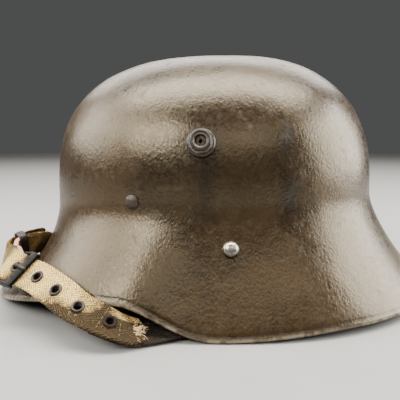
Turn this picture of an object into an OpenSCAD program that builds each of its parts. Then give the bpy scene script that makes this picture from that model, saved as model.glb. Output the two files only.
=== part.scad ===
// Steel helmet with a flared brim, standing on its rim; the brow points to -X and +Z is up.
// Every length is in millimetres and every angle in degrees.
// A turn is the angle round the shell: 0 at the brow, 90 on the wearer's left, 180 at the nape.

/* [Shell] */
// Height of the crown above the surface that the rim stands on
crown_height = 173; // [170:0.5:176]
// Thickness of the pressed sheet
wall = 1.2; // [1:0.1:1.4]
// Reach of the dome ahead of its middle, at the waist
dome_front = 119; // [117:0.5:120]
// Reach of the dome behind its middle, at the waist
dome_rear = 116; // [114:0.5:118]
// Half of the dome's width at the waist
dome_half_width = 97; // [96:0.5:98]
// Height of the waist at the brow
waist_front = 68; // [66:0.5:70]
// Height of the waist at the nape
waist_rear = 76; // [74:0.5:78]
// Height of the waist over the ears
waist_side = 78; // [76:0.5:80]
// How far the top of the crown lies behind the middle
crown_shift = 17; // [12:0.5:20]

/* [Rim] */
// Reach of the visor's edge ahead of the ear line
rim_reach_front = 171.5; // [170:0.5:174]
// Reach of the neck guard's edge behind the ear line
rim_reach_rear = 150.5; // [147:0.5:154]
// Half of the width over the rim
rim_half_width = 123; // [122:0.5:125]
// Thickness of the folded edge
hem_thickness = 3; // [2.8:0.1:3.4]
// Height of the fold on the inside
hem_height = 4.5; // [3.5:0.5:5]
// Lift of the edge at the temples
temple_lift = 19.5; // [19:0.5:20.5]
// Lift of the edge at the nape
nape_lift = 4.4; // [3:0.2:6]

/* [Vent lugs] */
// Turn of each vent lug
vent_turn = 84.75; // [80:0.25:90]
// Height of each vent lug
vent_height = 111.5; // [106:0.5:116]
// Radius of the lug's neck
vent_neck_r = 6.3; // [5.8:0.1:6.8]
// Radius of the lug's collar
vent_collar_r = 8.7; // [8:0.1:9.4]
// Radius of the air hole
vent_hole_r = 3.3; // [2.8:0.1:3.8]
// Height of the collar above the shell
vent_collar_height = 3.2; // [2.6:0.1:3.8]
// Height of the neck above the collar
vent_neck_height = 5.8; // [5.4:0.1:6.4]

/* [Liner] */
// Turn of the two front liner rivets
liner_rivet_turn = 64.5; // [61:0.5:68]
// Height of the liner rivets
liner_rivet_height = 75.7; // [74:0.1:77]
// Height of the liner rivet at the nape
rear_rivet_height = 77; // [76.5:0.1:77.3]
// Radius of a liner rivet's head
liner_rivet_head_r = 4.5; // [4:0.1:5]
// Radius of a liner rivet's shank
liner_rivet_shank_r = 2; // [1.6:0.1:2.2]
// Lowest height of the liner band
band_bottom = 66; // [65:0.5:67]
// Width of the liner band
band_width = 24; // [23:0.5:25]
// Thickness of the liner band
band_thickness = 0.8; // [0.6:0.1:1]
// Thickness of the pad leather
leather = 2; // [1.6:0.1:2.4]
// Height of the pads' crown
liner_crown = 150; // [146:1:153]
// Height of the pads' lower edge
pad_bottom = 82.5; // [82:0.5:84]
// Thickness of the cushions
cushion_thickness = 8; // [6:0.5:9]
// Radius of the lace
lace_r = 1.1; // [0.9:0.1:1.3]
// Radius of the ring that the lace draws together
lace_ring_r = 25; // [23:0.5:27]

/* [Chin strap] */
// Turn of the strap rivets
strap_turn = 91.75; // [90:0.25:94]
// Height of the strap rivets
strap_height = 49.7; // [48:0.1:51]
// Radius of a strap rivet's head
strap_rivet_head_r = 5; // [4.5:0.1:5.5]
// Radius of a strap rivet's shank
strap_rivet_shank_r = 2.5; // [2:0.1:2.8]
// Radius of the bail wire
bail_wire_r = 1.4; // [1.2:0.05:1.5]
// Width of the webbing
strap_width = 20.6; // [20:0.1:21.2]
// Thickness of the webbing
strap_thickness = 1.8; // [1.5:0.1:2]
// Distance between two eyelets
eyelet_pitch = 20; // [18:0.5:22]
// Radius of an eyelet's hole
eyelet_hole_r = 2.3; // [2.2:0.05:2.6]
// Radius of an eyelet's flange
eyelet_flange_r = 4; // [3.6:0.1:4.4]

/* [Hidden] */
$fn = 48;

// Lengthwise place of the ear line and of the dome's middle
ear_x = (rim_reach_front - rim_reach_rear) / 2;
dome_x = ear_x - 7.5;
// Roundness exponents: 2 is an ellipse, more is squarer
waist_round = 2.1;
rim_round_front = 2.24;
rim_round_rear = 2.12;
crown_round_side = 2.3;
crown_round_front = 2.8;
crown_round_rear = 2.4;
// Slope of the brim below the level at its edge
slope_side = 70;
slope_front = 30;
slope_rear = 55;
// How far the wall stays upright below the waist, and how straight the brim runs out
waist_pull = 0.335;
brim_pull_side = 0.5;
brim_pull_front = 0.8;
brim_pull_rear = 0.08;
// Turns between which the edge rises and falls
brow_end = 7;
temple_turn = 69;
ear_turn = 88;
nape_start = 84;
nape_end = 120;

// Clearances
seat = 0.1;
play = 0.05;
bend_room = 0.4;
soft_room = 0.3;
drill_room = 0.1;
drill_length = 30;

function unit(v) = v / norm(v);
function spow(v, e) = sign(v) * pow(abs(v), e);
function ease(a, b, t) = let (u = max(0, min(1, (t - a) / (b - a)))) u * u * (3 - 2 * u);
function mixed(turn, side, front, rear) =
    side * pow(sin(turn), 2) + (cos(turn) > 0 ? front : rear) * pow(cos(turn), 2);
function folded(turn) = let (t = abs(turn)) t <= 180 ? t : 360 - t;
function oval(turn, mid, front, rear, half, round_front, round_rear) =
    let (e = 2 / (cos(turn) > 0 ? round_front : round_rear))
    [mid - (cos(turn) > 0 ? front : rear) * spow(cos(turn), e), -half * spow(sin(turn), e)];

// Height of the lowest line of the edge
function edge_height(turn) =
    let (t = folded(turn))
    temple_lift * (ease(brow_end, temple_turn, t) - ease(temple_turn, ear_turn, t))
    + nape_lift * ease(nape_start, nape_end, t);
function waist_height(turn) = mixed(turn, waist_side, waist_front, waist_rear);
function waist_plan(turn) =
    oval(turn, dome_x, dome_front, dome_rear, dome_half_width, waist_round, waist_round);
function edge_slope(turn) = mixed(turn, slope_side, slope_front, slope_rear);
function edge_plan(turn) =
    let (inset = hem_thickness / 2 * (1 - sin(edge_slope(turn))))
    oval(turn, ear_x, rim_reach_front - inset, rim_reach_rear - inset, rim_half_width - inset,
        rim_round_front, rim_round_rear);

// Outer surface of the shell: share 0 is the crown, 1 the waist and 2 the edge
function dome_point(turn, share) =
    let (
        e = 2 / mixed(turn, crown_round_side, crown_round_front, crown_round_rear),
        middle = [crown_shift, 0],
        out = pow(sin(90 * share), e),
        up = pow(max(0, cos(90 * share)), e),
        flat = middle + (waist_plan(turn) - middle) * out
    )
    [flat.x, flat.y, waist_height(turn) + (crown_height - waist_height(turn)) * up];
function brim_point(turn, t) =
    let (
        from = waist_plan(turn),
        to = edge_plan(turn),
        reach = norm(to - from),
        aim = (to - from) / reach,
        slope = edge_slope(turn),
        top = waist_height(turn),
        low = edge_height(turn) + hem_thickness / 2 * (1 + cos(slope)),
        pull = reach * mixed(turn, brim_pull_side, brim_pull_front, brim_pull_rear),
        b0 = pow(1 - t, 3),
        b1 = 3 * t * pow(1 - t, 2),
        b2 = 3 * t * t * (1 - t),
        b3 = pow(t, 3),
        out = b2 * (reach - pull * cos(slope)) + b3 * reach,
        flat = from + aim * out
    )
    [flat.x, flat.y,
        b0 * top + b1 * (top - waist_pull * (top - low)) + b2 * (low + pull * sin(slope)) + b3 * low];
function outer(turn, share) = share < 1 ? dome_point(turn, share) : brim_point(turn, share - 1);
function outward(turn, share) =
    share < 0.01 ? [0, 0, 1] :
    unit(cross(outer(turn, share + 0.004) - outer(turn, share - 0.004),
        outer(turn + 0.5, share) - outer(turn - 0.5, share)));
function inner(turn, share, depth = wall) = outer(turn, share) - depth * outward(turn, share);

// Share of the surface that lies at a height, found by halving
function share_at(turn, height, low = 0, high = 1.95, steps = 18) =
    let (middle = (low + high) / 2)
    steps == 0 ? middle :
    outer(turn, middle).z > height
        ? share_at(turn, height, middle, high, steps - 1)
        : share_at(turn, height, low, middle, steps - 1);

// Frame of a fitting on the shell: z points out of the wall, x down it and y along it
module on_shell(turn, height) {
    share = share_at(turn, height);
    n = outward(turn, share);
    translate(outer(turn, share))
        rotate([0, acos(n.z), atan2(n.y, n.x)])
            children();
}
function shell_place(turn, height, p) =
    let (
        share = share_at(turn, height),
        n = outward(turn, share),
        along = unit([-n.y, n.x, 0]),
        down = cross(along, n)
    )
    outer(turn, share) + p.x * down + p.y * along + p.z * n;
module mirrored_pair() {
    children();
    mirror([0, 1, 0]) children();
}

// Triangles between rows of equal length; wrap joins each row's end to its start
function grid_faces(rows, columns, wrap, first = 0) = [
    for (i = [0 : rows - 2])
        for (j = [0 : columns - (wrap ? 1 : 2)])
            let (
                k = (j + 1) % columns,
                a = first + i * columns + j,
                b = first + i * columns + k,
                c = first + (i + 1) * columns + k,
                d = first + (i + 1) * columns + j
            )
            each [[a, c, b], [a, d, c]]
];
function turned(faces) = [for (f = faces) [f[0], f[2], f[1]]];
function flat_list(rows) = [for (row = rows) each row];

// Closed solid between two sheets of points with the same rows and columns
module slab(front, back) {
    rows = len(front);
    columns = len(front[0]);
    count = rows * columns;
    rim = concat(
        [for (j = [0 : columns - 1]) j],
        [for (i = [1 : rows - 1]) i * columns + columns - 1],
        [for (j = [columns - 2 : -1 : 0]) (rows - 1) * columns + j],
        [for (i = [rows - 2 : -1 : 1]) i * columns]
    );
    edges = [
        for (k = [0 : len(rim) - 1])
            let (p = rim[k], q = rim[(k + 1) % len(rim)])
            each [[p, q, q + count], [p, q + count, p + count]]
    ];
    polyhedron(
        flat_list(concat(front, back)),
        concat(
            grid_faces(rows, columns, false),
            turned(grid_faces(rows, columns, false, count)),
            edges
        )
    );
}

// Tube through rings of points; closed joins the last ring to the first
module tube(rings, closed = false) {
    sides = len(rings[0]);
    body = closed ? concat(rings, [rings[0]]) : rings;
    last = (len(rings) - 1) * sides;
    looped = [
        for (f = grid_faces(len(body), sides, true))
            [for (v = f) v % (len(rings) * sides)]
    ];
    caps = closed ? [] : concat(
        [for (j = [1 : sides - 2]) [0, j, j + 1]],
        [for (j = [1 : sides - 2]) [last, last + j + 1, last + j]]
    );
    polyhedron(flat_list(rings), concat(turned(looped), turned(caps)));
}

// Shell
dome_shares = [0.03, 0.1, 0.2, 0.3, 0.4, 0.5, 0.6, 0.7, 0.79, 0.87, 0.94, 1];
brim_shares = [1.08, 1.16, 1.24, 1.32, 1.41, 1.5, 1.6, 1.7, 1.8, 1.9, 2];
bead_angles = [36, 72, 108, 144, 180];
inner_shares = concat(
    [for (k = [len(brim_shares) - 3 : -1 : 0]) brim_shares[k]],
    [for (k = [len(dome_shares) - 1 : -1 : 0]) dome_shares[k]]
);
shell_columns = 64;
function ring_turns() = [for (j = [0 : shell_columns - 1]) j * 360 / shell_columns];
function edge_down(turn) = unit(outer(turn, 2) - outer(turn, 1.99));
function hem_point(turn, angle, rise) =
    let (
        n = outward(turn, 2),
        d = edge_down(turn),
        r = hem_thickness / 2
    )
    outer(turn, 2) - n * r + r * (n * cos(angle) + d * sin(angle)) - d * rise;

module pressed_shell() {
    rings = concat(
        [for (s = dome_shares) [for (t = ring_turns()) outer(t, s)]],
        [for (s = brim_shares) [for (t = ring_turns()) outer(t, s)]],
        [for (a = bead_angles) [for (t = ring_turns()) hem_point(t, a, 0)]],
        [[for (t = ring_turns()) hem_point(t, 180, hem_height)]],
        [[for (t = ring_turns()) inner(t, 2) - edge_down(t) * hem_height]],
        [for (s = inner_shares) [for (t = ring_turns()) inner(t, s)]]
    );
    last = (len(rings) - 1) * shell_columns;
    top = len(rings) * shell_columns;
    points = concat(
        flat_list(rings),
        [[crown_shift, 0, crown_height], [crown_shift, 0, crown_height - wall]]
    );
    faces = concat(
        grid_faces(len(rings), shell_columns, true),
        [for (j = [0 : shell_columns - 1]) [top, j, (j + 1) % shell_columns]],
        [for (j = [0 : shell_columns - 1]) [top + 1, last + (j + 1) % shell_columns, last + j]]
    );
    polyhedron(points, turned(faces));
}
module drill(r) {
    translate([0, 0, -drill_length / 2]) cylinder(h = drill_length, r = r);
}
module shell() {
    color("#5b4a38") difference() {
        pressed_shell();
        mirrored_pair() on_shell(vent_turn, vent_height) drill(vent_shank_r + drill_room);
        mirrored_pair() on_shell(liner_rivet_turn, liner_rivet_height)
            drill(liner_rivet_shank_r + drill_room);
        on_shell(180, rear_rivet_height) drill(liner_rivet_shank_r + drill_room);
        mirrored_pair() on_shell(strap_turn, strap_height) drill(strap_rivet_shank_r + drill_room);
    }
}

// Vent lugs: a stepped hollow plug, crimped over inside the shell
vent_shank_r = vent_neck_r - 0.7;
vent_flange_r = vent_collar_r - 0.7;
vent_flange_thickness = 1;
vent_top = vent_collar_height + vent_neck_height;
module vent_lug() {
    inside = -wall - 2 * bend_room;
    color("#6a5b4c") on_shell(vent_turn, vent_height) rotate_extrude()
        polygon([
            [vent_hole_r, inside - vent_flange_thickness],
            [vent_flange_r, inside - vent_flange_thickness],
            [vent_flange_r, inside],
            [vent_shank_r, inside],
            [vent_shank_r, seat],
            [vent_collar_r, seat],
            [vent_collar_r, vent_collar_height - 1],
            [vent_collar_r - 1, vent_collar_height],
            [vent_neck_r, vent_collar_height],
            [vent_neck_r, vent_top - 0.6],
            [vent_neck_r - 0.6, vent_top],
            [vent_hole_r + 1.4, vent_top],
            [vent_hole_r + 1, vent_top - 1],
            [vent_hole_r, vent_top - 1.6]
        ]);
}
module vent_lug_left() { vent_lug(); }
module vent_lug_right() { mirror([0, 1, 0]) vent_lug(); }

// Liner rivets: a low domed head, a split shank and two legs bent flat on the washer
liner_head_height = 1.8;
head_seat = 0.45;
washer_r = 5;
washer_thickness = 0.8;
leg_length = 9;
leg_width = 3.2;
leg_thickness = 0.9;
slit = 0.4;
washer_room = 0.35;
// Level of the washer's outer face, below the shell's outer surface
function washer_top(turn, height) =
    let (share = share_at(turn, height))
    (band_point(turn, band_gap + band_thickness, height) - outer(turn, share))
        * outward(turn, share) - washer_room;
module domed_head(r, h, floor) {
    dome_r = (r * r + h * h) / (2 * h);
    intersection() {
        translate([0, 0, floor + h - dome_r]) sphere(r = dome_r);
        translate([0, 0, floor]) cylinder(h = h + 1, r = r + 1);
    }
}
module liner_rivet(turn, height) {
    leg_top = washer_top(turn, height) - washer_thickness - seat;
    color("#3c352d") union() {
        domed_head(liner_rivet_head_r, liner_head_height, head_seat);
        difference() {
            translate([0, 0, leg_top - leg_thickness])
                cylinder(h = head_seat + 0.2 - leg_top + leg_thickness, r = liner_rivet_shank_r);
            translate([-liner_rivet_shank_r - 1, -slit / 2, leg_top - leg_thickness - 1])
                cube([2 * liner_rivet_shank_r + 2, slit, leg_thickness + washer_thickness + 1]);
        }
        for (side = [-1, 1])
            translate([-leg_width / 2, side > 0 ? slit / 2 : -slit / 2 - leg_length, leg_top - leg_thickness])
                cube([leg_width, leg_length, leg_thickness]);
    }
}
module liner_rivet_left() {
    on_shell(liner_rivet_turn, liner_rivet_height) liner_rivet(liner_rivet_turn, liner_rivet_height);
}
module liner_rivet_right() { mirror([0, 1, 0]) liner_rivet_left(); }
module liner_rivet_rear() {
    on_shell(180, rear_rivet_height) liner_rivet(180, rear_rivet_height);
}
module washer(turn, height) {
    translate([0, 0, washer_top(turn, height) - washer_thickness]) difference() {
        cylinder(h = washer_thickness, r = washer_r);
        translate([0, 0, -1]) cylinder(h = washer_thickness + 2, r = liner_rivet_shank_r + drill_room);
    }
}
module liner_washers() {
    color("#7b756c") {
        mirrored_pair() on_shell(liner_rivet_turn, liner_rivet_height)
            washer(liner_rivet_turn, liner_rivet_height);
        on_shell(180, rear_rivet_height) washer(180, rear_rivet_height);
    }
}

// Liner band: a steel hoop that follows the inside of the wall
band_top = band_bottom + band_width;
band_gap = wall + bend_room;
function level_out(turn, share) = let (n = outward(turn, share)) unit([n.x, n.y, 0]);
function band_point(turn, depth, height) =
    let (share = share_at(turn, band_top), p = outer(turn, share) - depth * level_out(turn, share))
    [p.x, p.y, height];
module band_hoop() {
    tube([
        for (t = ring_turns()) [
            band_point(t, band_gap, band_bottom),
            band_point(t, band_gap, band_top),
            band_point(t, band_gap + band_thickness, band_top),
            band_point(t, band_gap + band_thickness, band_bottom)
        ]
    ], closed = true);
}
module liner_band() {
    color("#4a463f") difference() {
        band_hoop();
        mirrored_pair() on_shell(liner_rivet_turn, liner_rivet_height)
            drill_in(liner_rivet_shank_r + drill_room);
        on_shell(180, rear_rivet_height) drill_in(liner_rivet_shank_r + drill_room);
        mirrored_pair() for (t = front_rivet_turns) at_pad_rivet(t) drill_in(pad_rivet_r + drill_room);
        for (t = rear_rivet_turns) at_pad_rivet(t) drill_in(pad_rivet_r + drill_room);
    }
}
module drill_in(r) {
    translate([0, 0, -drill_length / 2 + 4]) cylinder(h = drill_length / 2, r = r);
}

// Pads: leather with two tongues each, drawn together at the crown by the lace
liner_round = 1.8;
front_pad = [14, 110];
rear_pad = [126, 234];
skirt_lean = 12;
notch_lean = 74;
tip_lean = 11;
tongue_columns = 10;
pad_rows = 8;
pad_back = band_gap + band_thickness + soft_room;
// Lean is 0 at the crown and 90 at the top of the skirt that is riveted to the band
function liner_place(turn, lean) =
    let (
        base = band_point(turn, pad_back, band_top),
        middle = [dome_x, 0],
        e = 2 / liner_round,
        out = lean > 90 ? 1 : pow(sin(lean), e),
        up = lean > 90 ? 0 : pow(max(0, cos(lean)), e),
        flat = middle + ([base.x, base.y] - middle) * out
    )
    [flat.x, flat.y,
        band_top + (liner_crown - band_top) * up
            - (band_top - pad_bottom) * max(0, lean - 90) / skirt_lean];
function liner_out(turn, lean) =
    unit(cross(
        liner_place(turn, lean + 1) - liner_place(turn, lean - 1),
        liner_place(turn + 1, lean) - liner_place(turn - 1, lean)
    ));
function liner_point(turn, lean, depth = 0) = liner_place(turn, lean) - depth * liner_out(turn, lean);
function tongue_shape(f) = pow(max(0, 1 - pow(abs(2 * f - 1), 4)), 0.5);
function pad_columns(span) = [
    for (tongue = [0, 1])
        for (k = [tongue : tongue_columns])
            let (
                f = (1 - cos(180 * k / tongue_columns)) / 2,
                turn = span[0] + (tongue + f) * (span[1] - span[0]) / 2
            )
            [turn, notch_lean + (tip_lean - notch_lean) * tongue_shape(f)]
];
// Leans down a column: two rows of skirt, then evenly up to the tongue's edge
function pad_leans(tip) = concat(
    [90 + skirt_lean],
    [for (i = [0 : pad_rows]) 90 + (tip - 90) * i / pad_rows]
);
function pad_sheet(columns, leans, depth) = [
    for (i = [0 : pad_rows + 1])
        [for (k = [0 : len(columns) - 1]) liner_point(columns[k][0], leans[k][i], depth)]
];
module pad(span) {
    columns = pad_columns(span);
    leans = [for (c = columns) pad_leans(c[1])];
    color("#6e4a30") difference() {
        slab(pad_sheet(columns, leans, 0), pad_sheet(columns, leans, leather));
        for (t = tongue_turns(span))
            translate(lace_place(t)) cylinder(h = drill_length, r = lace_hole_r, center = true);
        for (t = rivet_turns(span)) at_pad_rivet(t) drill_in(pad_rivet_r + drill_room);
    }
}
module pad_front_left() { pad(front_pad); }
module pad_front_right() { mirror([0, 1, 0]) pad(front_pad); }
module pad_rear() { pad(rear_pad); }

// Pad rivets: small tubular rivets through pad and band
pad_rivet_r = 1.2;
pad_rivet_head_r = 2.6;
pad_rivet_height = band_top - 4;
pad_rivet_margin = 7;
function rivet_turns(span) =
    [span[0] + pad_rivet_margin, (span[0] + span[1]) / 2, span[1] - pad_rivet_margin];
front_rivet_turns = rivet_turns(front_pad);
rear_rivet_turns = rivet_turns(rear_pad);
module at_pad_rivet(turn) {
    share = share_at(turn, band_top);
    n = level_out(turn, share);
    translate(band_point(turn, pad_back, pad_rivet_height))
        rotate([0, 90, atan2(n.y, n.x)])
            children();
}
module pad_rivet() {
    inside = -leather - 0.5;
    back = soft_room + band_thickness + 0.1;
    rotate_extrude() polygon([
        [0, inside - 0.9],
        [1.6, inside - 0.9],
        [pad_rivet_head_r, inside - 0.3],
        [pad_rivet_head_r, inside],
        [pad_rivet_r, inside],
        [pad_rivet_r, back],
        [0, back]
    ]);
}
module pad_rivets() {
    color("#8a7a55") {
        mirrored_pair() for (t = front_rivet_turns) at_pad_rivet(t) pad_rivet();
        for (t = rear_rivet_turns) at_pad_rivet(t) pad_rivet();
    }
}

// Cushions: horsehair pillows between each pad and the shell
cushion_low = 104;
cushion_high = 138;
cushion_edge = 0.8;
cushion_margin = 8;
cushion_columns = 20;
cushion_rows = 8;
cushion_depth = wall + 2 * bend_room + vent_flange_thickness + soft_room;
function lean_at(height) =
    acos(pow((height - band_top) / (liner_crown - band_top), liner_round / 2));
function cushion_point(span, u, v, face) =
    let (
        turn = (span[0] + span[1]) / 2 + u * ((span[1] - span[0]) / 2 - cushion_margin),
        drawn = 1 - 0.12 * (1 - cos(180 * u)) / 2 - 0.08 * pow(abs(sin(180 * u)), 2),
        height = (cushion_low + cushion_high) / 2 + v * drawn * (cushion_high - cushion_low) / 2,
        back = inner(turn, share_at(turn, height), cushion_depth),
        front = liner_point(turn, lean_at(height), -soft_room),
        gap = norm(back - front),
        aim = (back - front) / gap,
        swell = pow(max(0, (1 - pow(u, 4)) * (1 - pow(v, 4))), 0.5),
        half = cushion_edge / 2 + (min(cushion_thickness, gap) - cushion_edge) / 2 * swell,
        channel = 1 - 0.18 * pow(max(0, cos(540 * u)), 8)
    )
    (front + aim * min(gap, cushion_thickness + soft_room) / 2) + face * aim * half * channel;
module cushion(span) {
    us = [for (i = [0 : cushion_columns]) 2 * i / cushion_columns - 1];
    vs = [for (j = [0 : cushion_rows]) 2 * j / cushion_rows - 1];
    color("#b8a98a") slab(
        [for (v = vs) [for (u = us) cushion_point(span, u, v, 1)]],
        [for (v = vs) [for (u = us) cushion_point(span, u, v, -1)]]
    );
}
module cushion_front_left() { cushion(front_pad); }
module cushion_front_right() { mirror([0, 1, 0]) cushion(front_pad); }
module cushion_rear() { cushion(rear_pad); }

// Lace: a cord that weaves over and under through the six tongues
lace_hole_r = 3.4;
lace_rise = 4.2;
lace_sides = 6;
lace_steps = [0, 0.05, 0.12, 0.2, 0.35, 0.5, 0.65, 0.8, 0.88, 0.95];
function tongue_turns(span) = let (part = (span[1] - span[0]) / 4) [span[0] + part, span[1] - part];
function lace_lean(turn) =
    let (base = band_point(turn, pad_back, band_top))
    asin(pow(lace_ring_r / norm([base.x - dome_x, base.y]), liner_round / 2));
function lace_place(turn) = liner_point(turn, lace_lean(turn), leather / 2);
lace_turns = concat(
    tongue_turns(front_pad), tongue_turns(rear_pad),
    [for (t = [1, 0]) 360 - tongue_turns(front_pad)[t]]
);
function lace_points() = [
    for (k = [0 : 5])
        let (from = lace_turns[k], to = lace_turns[(k + 1) % 6] + (k == 5 ? 360 : 0))
        for (f = lace_steps)
            let (p = lace_place(from + (to - from) * f), side = k % 2 == 0 ? 1 : -1)
            [p.x, p.y, p.z + side * lace_rise * pow(sin(180 * f), 0.4)]
];
module crown_lace() {
    path = lace_points();
    count = len(path);
    color("#8c7650") tube([
        for (i = [0 : count - 1])
            let (
                ahead = unit(path[(i + 1) % count] - path[(i + count - 1) % count]),
                side = unit(cross(ahead, [0, 0, 1])),
                up = cross(side, ahead)
            )
            [for (a = [0 : lace_sides - 1])
                path[i] + lace_r * (side * cos(360 * a / lace_sides) + up * sin(360 * a / lace_sides))]
    ], closed = true);
}

// Strap fittings, in the frame of the strap rivet
plate_top = -(wall + bend_room);
plate_thickness = 1.5;
plate_half_width = 8;
plate_reach_up = 8;
knuckle_r = bail_wire_r + play + 1.4;
hinge_down = 11;
hinge_in = plate_top - knuckle_r;
strap_head_height = 4.2;
inner_head_r = 4;
inner_head_height = 1.3;
module strap_rivet() {
    floor_in = plate_top - plate_thickness - seat;
    color("#8d8478") on_shell(strap_turn, strap_height) union() {
        domed_head(strap_rivet_head_r, strap_head_height, 0.25);
        translate([0, 0, floor_in]) cylinder(h = 0.5 - floor_in, r = strap_rivet_shank_r);
        translate([0, 0, floor_in - inner_head_height]) cylinder(h = inner_head_height, r = inner_head_r);
    }
}
module strap_rivet_left() { strap_rivet(); }
module strap_rivet_right() { mirror([0, 1, 0]) strap_rivet(); }

module strap_bracket() {
    color("#45413b") on_shell(strap_turn, strap_height) difference() {
        union() {
            translate([-plate_reach_up, -plate_half_width, plate_top - plate_thickness])
                cube([plate_reach_up + hinge_down, 2 * plate_half_width, plate_thickness]);
            translate([hinge_down, plate_half_width, hinge_in])
                rotate([90, 0, 0]) cylinder(h = 2 * plate_half_width, r = knuckle_r);
        }
        translate([hinge_down, plate_half_width + 1, hinge_in])
            rotate([90, 0, 0]) cylinder(h = 2 * plate_half_width + 2, r = bail_wire_r + play);
        drill(strap_rivet_shank_r + drill_room);
    }
}
module strap_bracket_left() { strap_bracket(); }
module strap_bracket_right() { mirror([0, 1, 0]) strap_bracket(); }

// Bail: a closed loop of wire that swings in the bracket's knuckle
bail_half_width = strap_width / 2 + bail_wire_r + 0.7;
bail_drop = 14;
module wire(from, to, r) {
    run = to - from;
    translate(from)
        rotate([0, acos(run.z / norm(run)), atan2(run.y, run.x)])
            cylinder(h = norm(run), r = r);
}
// The bail and the sewn loop hang plumb from the knuckle
bail_hang = asin(outward(strap_turn, share_at(strap_turn, strap_height)).z);
hinge_place = shell_place(strap_turn, strap_height, [hinge_down, 0, hinge_in]);
module hung() {
    on_shell(strap_turn, strap_height)
        translate([hinge_down, 0, hinge_in]) rotate([0, bail_hang, 0])
            children();
}
module strap_bail() {
    corners = [
        [0, -bail_half_width, 0],
        [0, bail_half_width, 0],
        [bail_drop, bail_half_width, 0],
        [bail_drop, -bail_half_width, 0]
    ];
    color("#35322e") hung() union() {
        for (k = [0 : 3]) {
            wire(corners[k], corners[(k + 1) % 4], bail_wire_r);
            translate(corners[k]) sphere(r = bail_wire_r);
        }
    }
}
module strap_bail_left() { strap_bail(); }
module strap_bail_right() { mirror([0, 1, 0]) strap_bail(); }

// Sewn loop of webbing round the bail
loop_bore_r = bail_wire_r + 0.35;
loop_r = loop_bore_r + strap_thickness;
stub_length = 7.5;
stub_thickness = 2 * strap_thickness + 0.3;
module strap_loop() {
    color("#a8966f") hung()
        translate([bail_drop, strap_width / 2, 0]) rotate([90, 0, 0])
            difference() {
                union() {
                    cylinder(h = strap_width, r = loop_r);
                    translate([0, -stub_thickness / 2, 0]) cube([stub_length, stub_thickness, strap_width]);
                }
                translate([0, 0, -1]) cylinder(h = strap_width + 2, r = loop_bore_r);
            }
}
module strap_loop_left() { strap_loop(); }
module strap_loop_right() { mirror([0, 1, 0]) strap_loop(); }

// Chin strap: points along the middle of the webbing and the direction of its width.
// A point is [ahead of the ear line as a share of the visor's reach, aside as a share of
// the half width, height], so that the webbing follows the rim's size.
function route_point(p) = [ear_x - p[0] * rim_reach_front, -p[1] * rim_half_width, p[2]];
strap_start = hinge_place - [0, 0, bail_drop + stub_length + soft_room];
strap_start_width =
    let (n = outward(strap_turn, share_at(strap_turn, strap_height)))
    unit([n.y, -n.x, 0]);
strap_second = strap_start - [0, 0, 3.5];
side_route = [
    [[0.012, 0.843, 8.3], [-0.65, 0.75, 0]],
    [[0.038, 0.858, 4.4], [-0.2, 0.97, 0]],
    [[0.172, 0.888, 3.3], [0, 1, 0.03]],
    [[0.25, 0.925, 3.2], [0, 1, 0.05]],
    [[0.32, 0.968, 5.8], [0.1, 0.97, 0.15]],
    [[0.395, 1.01, 12], [0.25, 0.9, 0.36]],
    [[0.51, 0.975, 20.6], [0.45, 0.75, 0.48]],
    [[0.602, 0.878, 26.6], [0.55, 0.58, 0.6]],
    [[0.685, 0.776, 30.2], [0.54, 0.58, 0.61]]
];
buckle_point = [0.781, 0.686, 33.2];
buckle_width = [0.517, 0.605, 0.605];
buckle_heading = [-0.8, 0.58, 0.14];
turn_route = [
    [[0.872, 0.41, 28.6], [0.4, 0.2, 0.89]],
    [[0.889, 0.35, 30.4], [0.28, -0.05, 0.95]],
    [[0.882, 0.28, 32.6], [0.34, -0.1, 0.93]]
];
// Round the front the webbing stands on the brim: turn, height of its lower edge, gap to the shell
front_route = [
    [11.5, 23, 5], [5, 21.5, 3.2], [-1, 19, 2], [-7, 17.5, 1.7],
    [-14, 16.5, 1.7], [-23, 16, 1.7], [-32, 16.5, 2]
];
function front_station(s) =
    let (
        low_share = share_at(s[0], s[1]),
        high_share = share_at(s[0], s[1] + 0.95 * strap_width),
        low = outer(s[0], low_share) + s[2] * outward(s[0], low_share),
        high = outer(s[0], high_share) + s[2] * outward(s[0], high_share),
        across = unit(high - low)
    )
    [low + across * strap_width / 2, across];
function routed(route) = [for (s = route) [route_point(s[0]), s[1]]];

function spline(p, i, t) =
    let (
        a = i > 0 ? p[i - 1] : 2 * p[0] - p[1],
        b = p[i],
        c = p[i + 1],
        d = i + 2 < len(p) ? p[i + 2] : 2 * p[i + 1] - p[i]
    )
    0.5 * (2 * b + (c - a) * t + (2 * a - 5 * b + 4 * c - d) * t * t + (3 * b - a - 3 * c + d) * t * t * t);
strap_steps = 4;
function smooth(p) = concat(
    [for (i = [0 : len(p) - 2]) for (k = [0 : strap_steps - 1]) spline(p, i, k / strap_steps)],
    [p[len(p) - 1]]
);
// Frames along a route: [middle, ahead, across, outward]
function frames(stations) =
    let (
        middles = smooth([for (s = stations) s[0]]),
        widths = smooth([for (s = stations) s[1]]),
        last = len(middles) - 1,
        end = len(stations) - 1
    )
    [
        for (i = [0 : last])
            let (
                ahead =
                    i == 0 ? unit(stations[1][0] - stations[0][0]) :
                    i == last ? unit(stations[end][0] - stations[end - 1][0]) :
                    unit(middles[i + 1] - middles[i - 1]),
                across = unit(widths[i] - (widths[i] * ahead) * ahead)
            )
            [middles[i], ahead, across, cross(across, ahead)]
    ];
module ribbon(f, width, thickness) {
    tube([
        for (q = f) [
            q[0] - q[2] * width / 2 - q[3] * thickness / 2,
            q[0] + q[2] * width / 2 - q[3] * thickness / 2,
            q[0] + q[2] * width / 2 + q[3] * thickness / 2,
            q[0] - q[2] * width / 2 + q[3] * thickness / 2
        ]
    ]);
}

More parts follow.
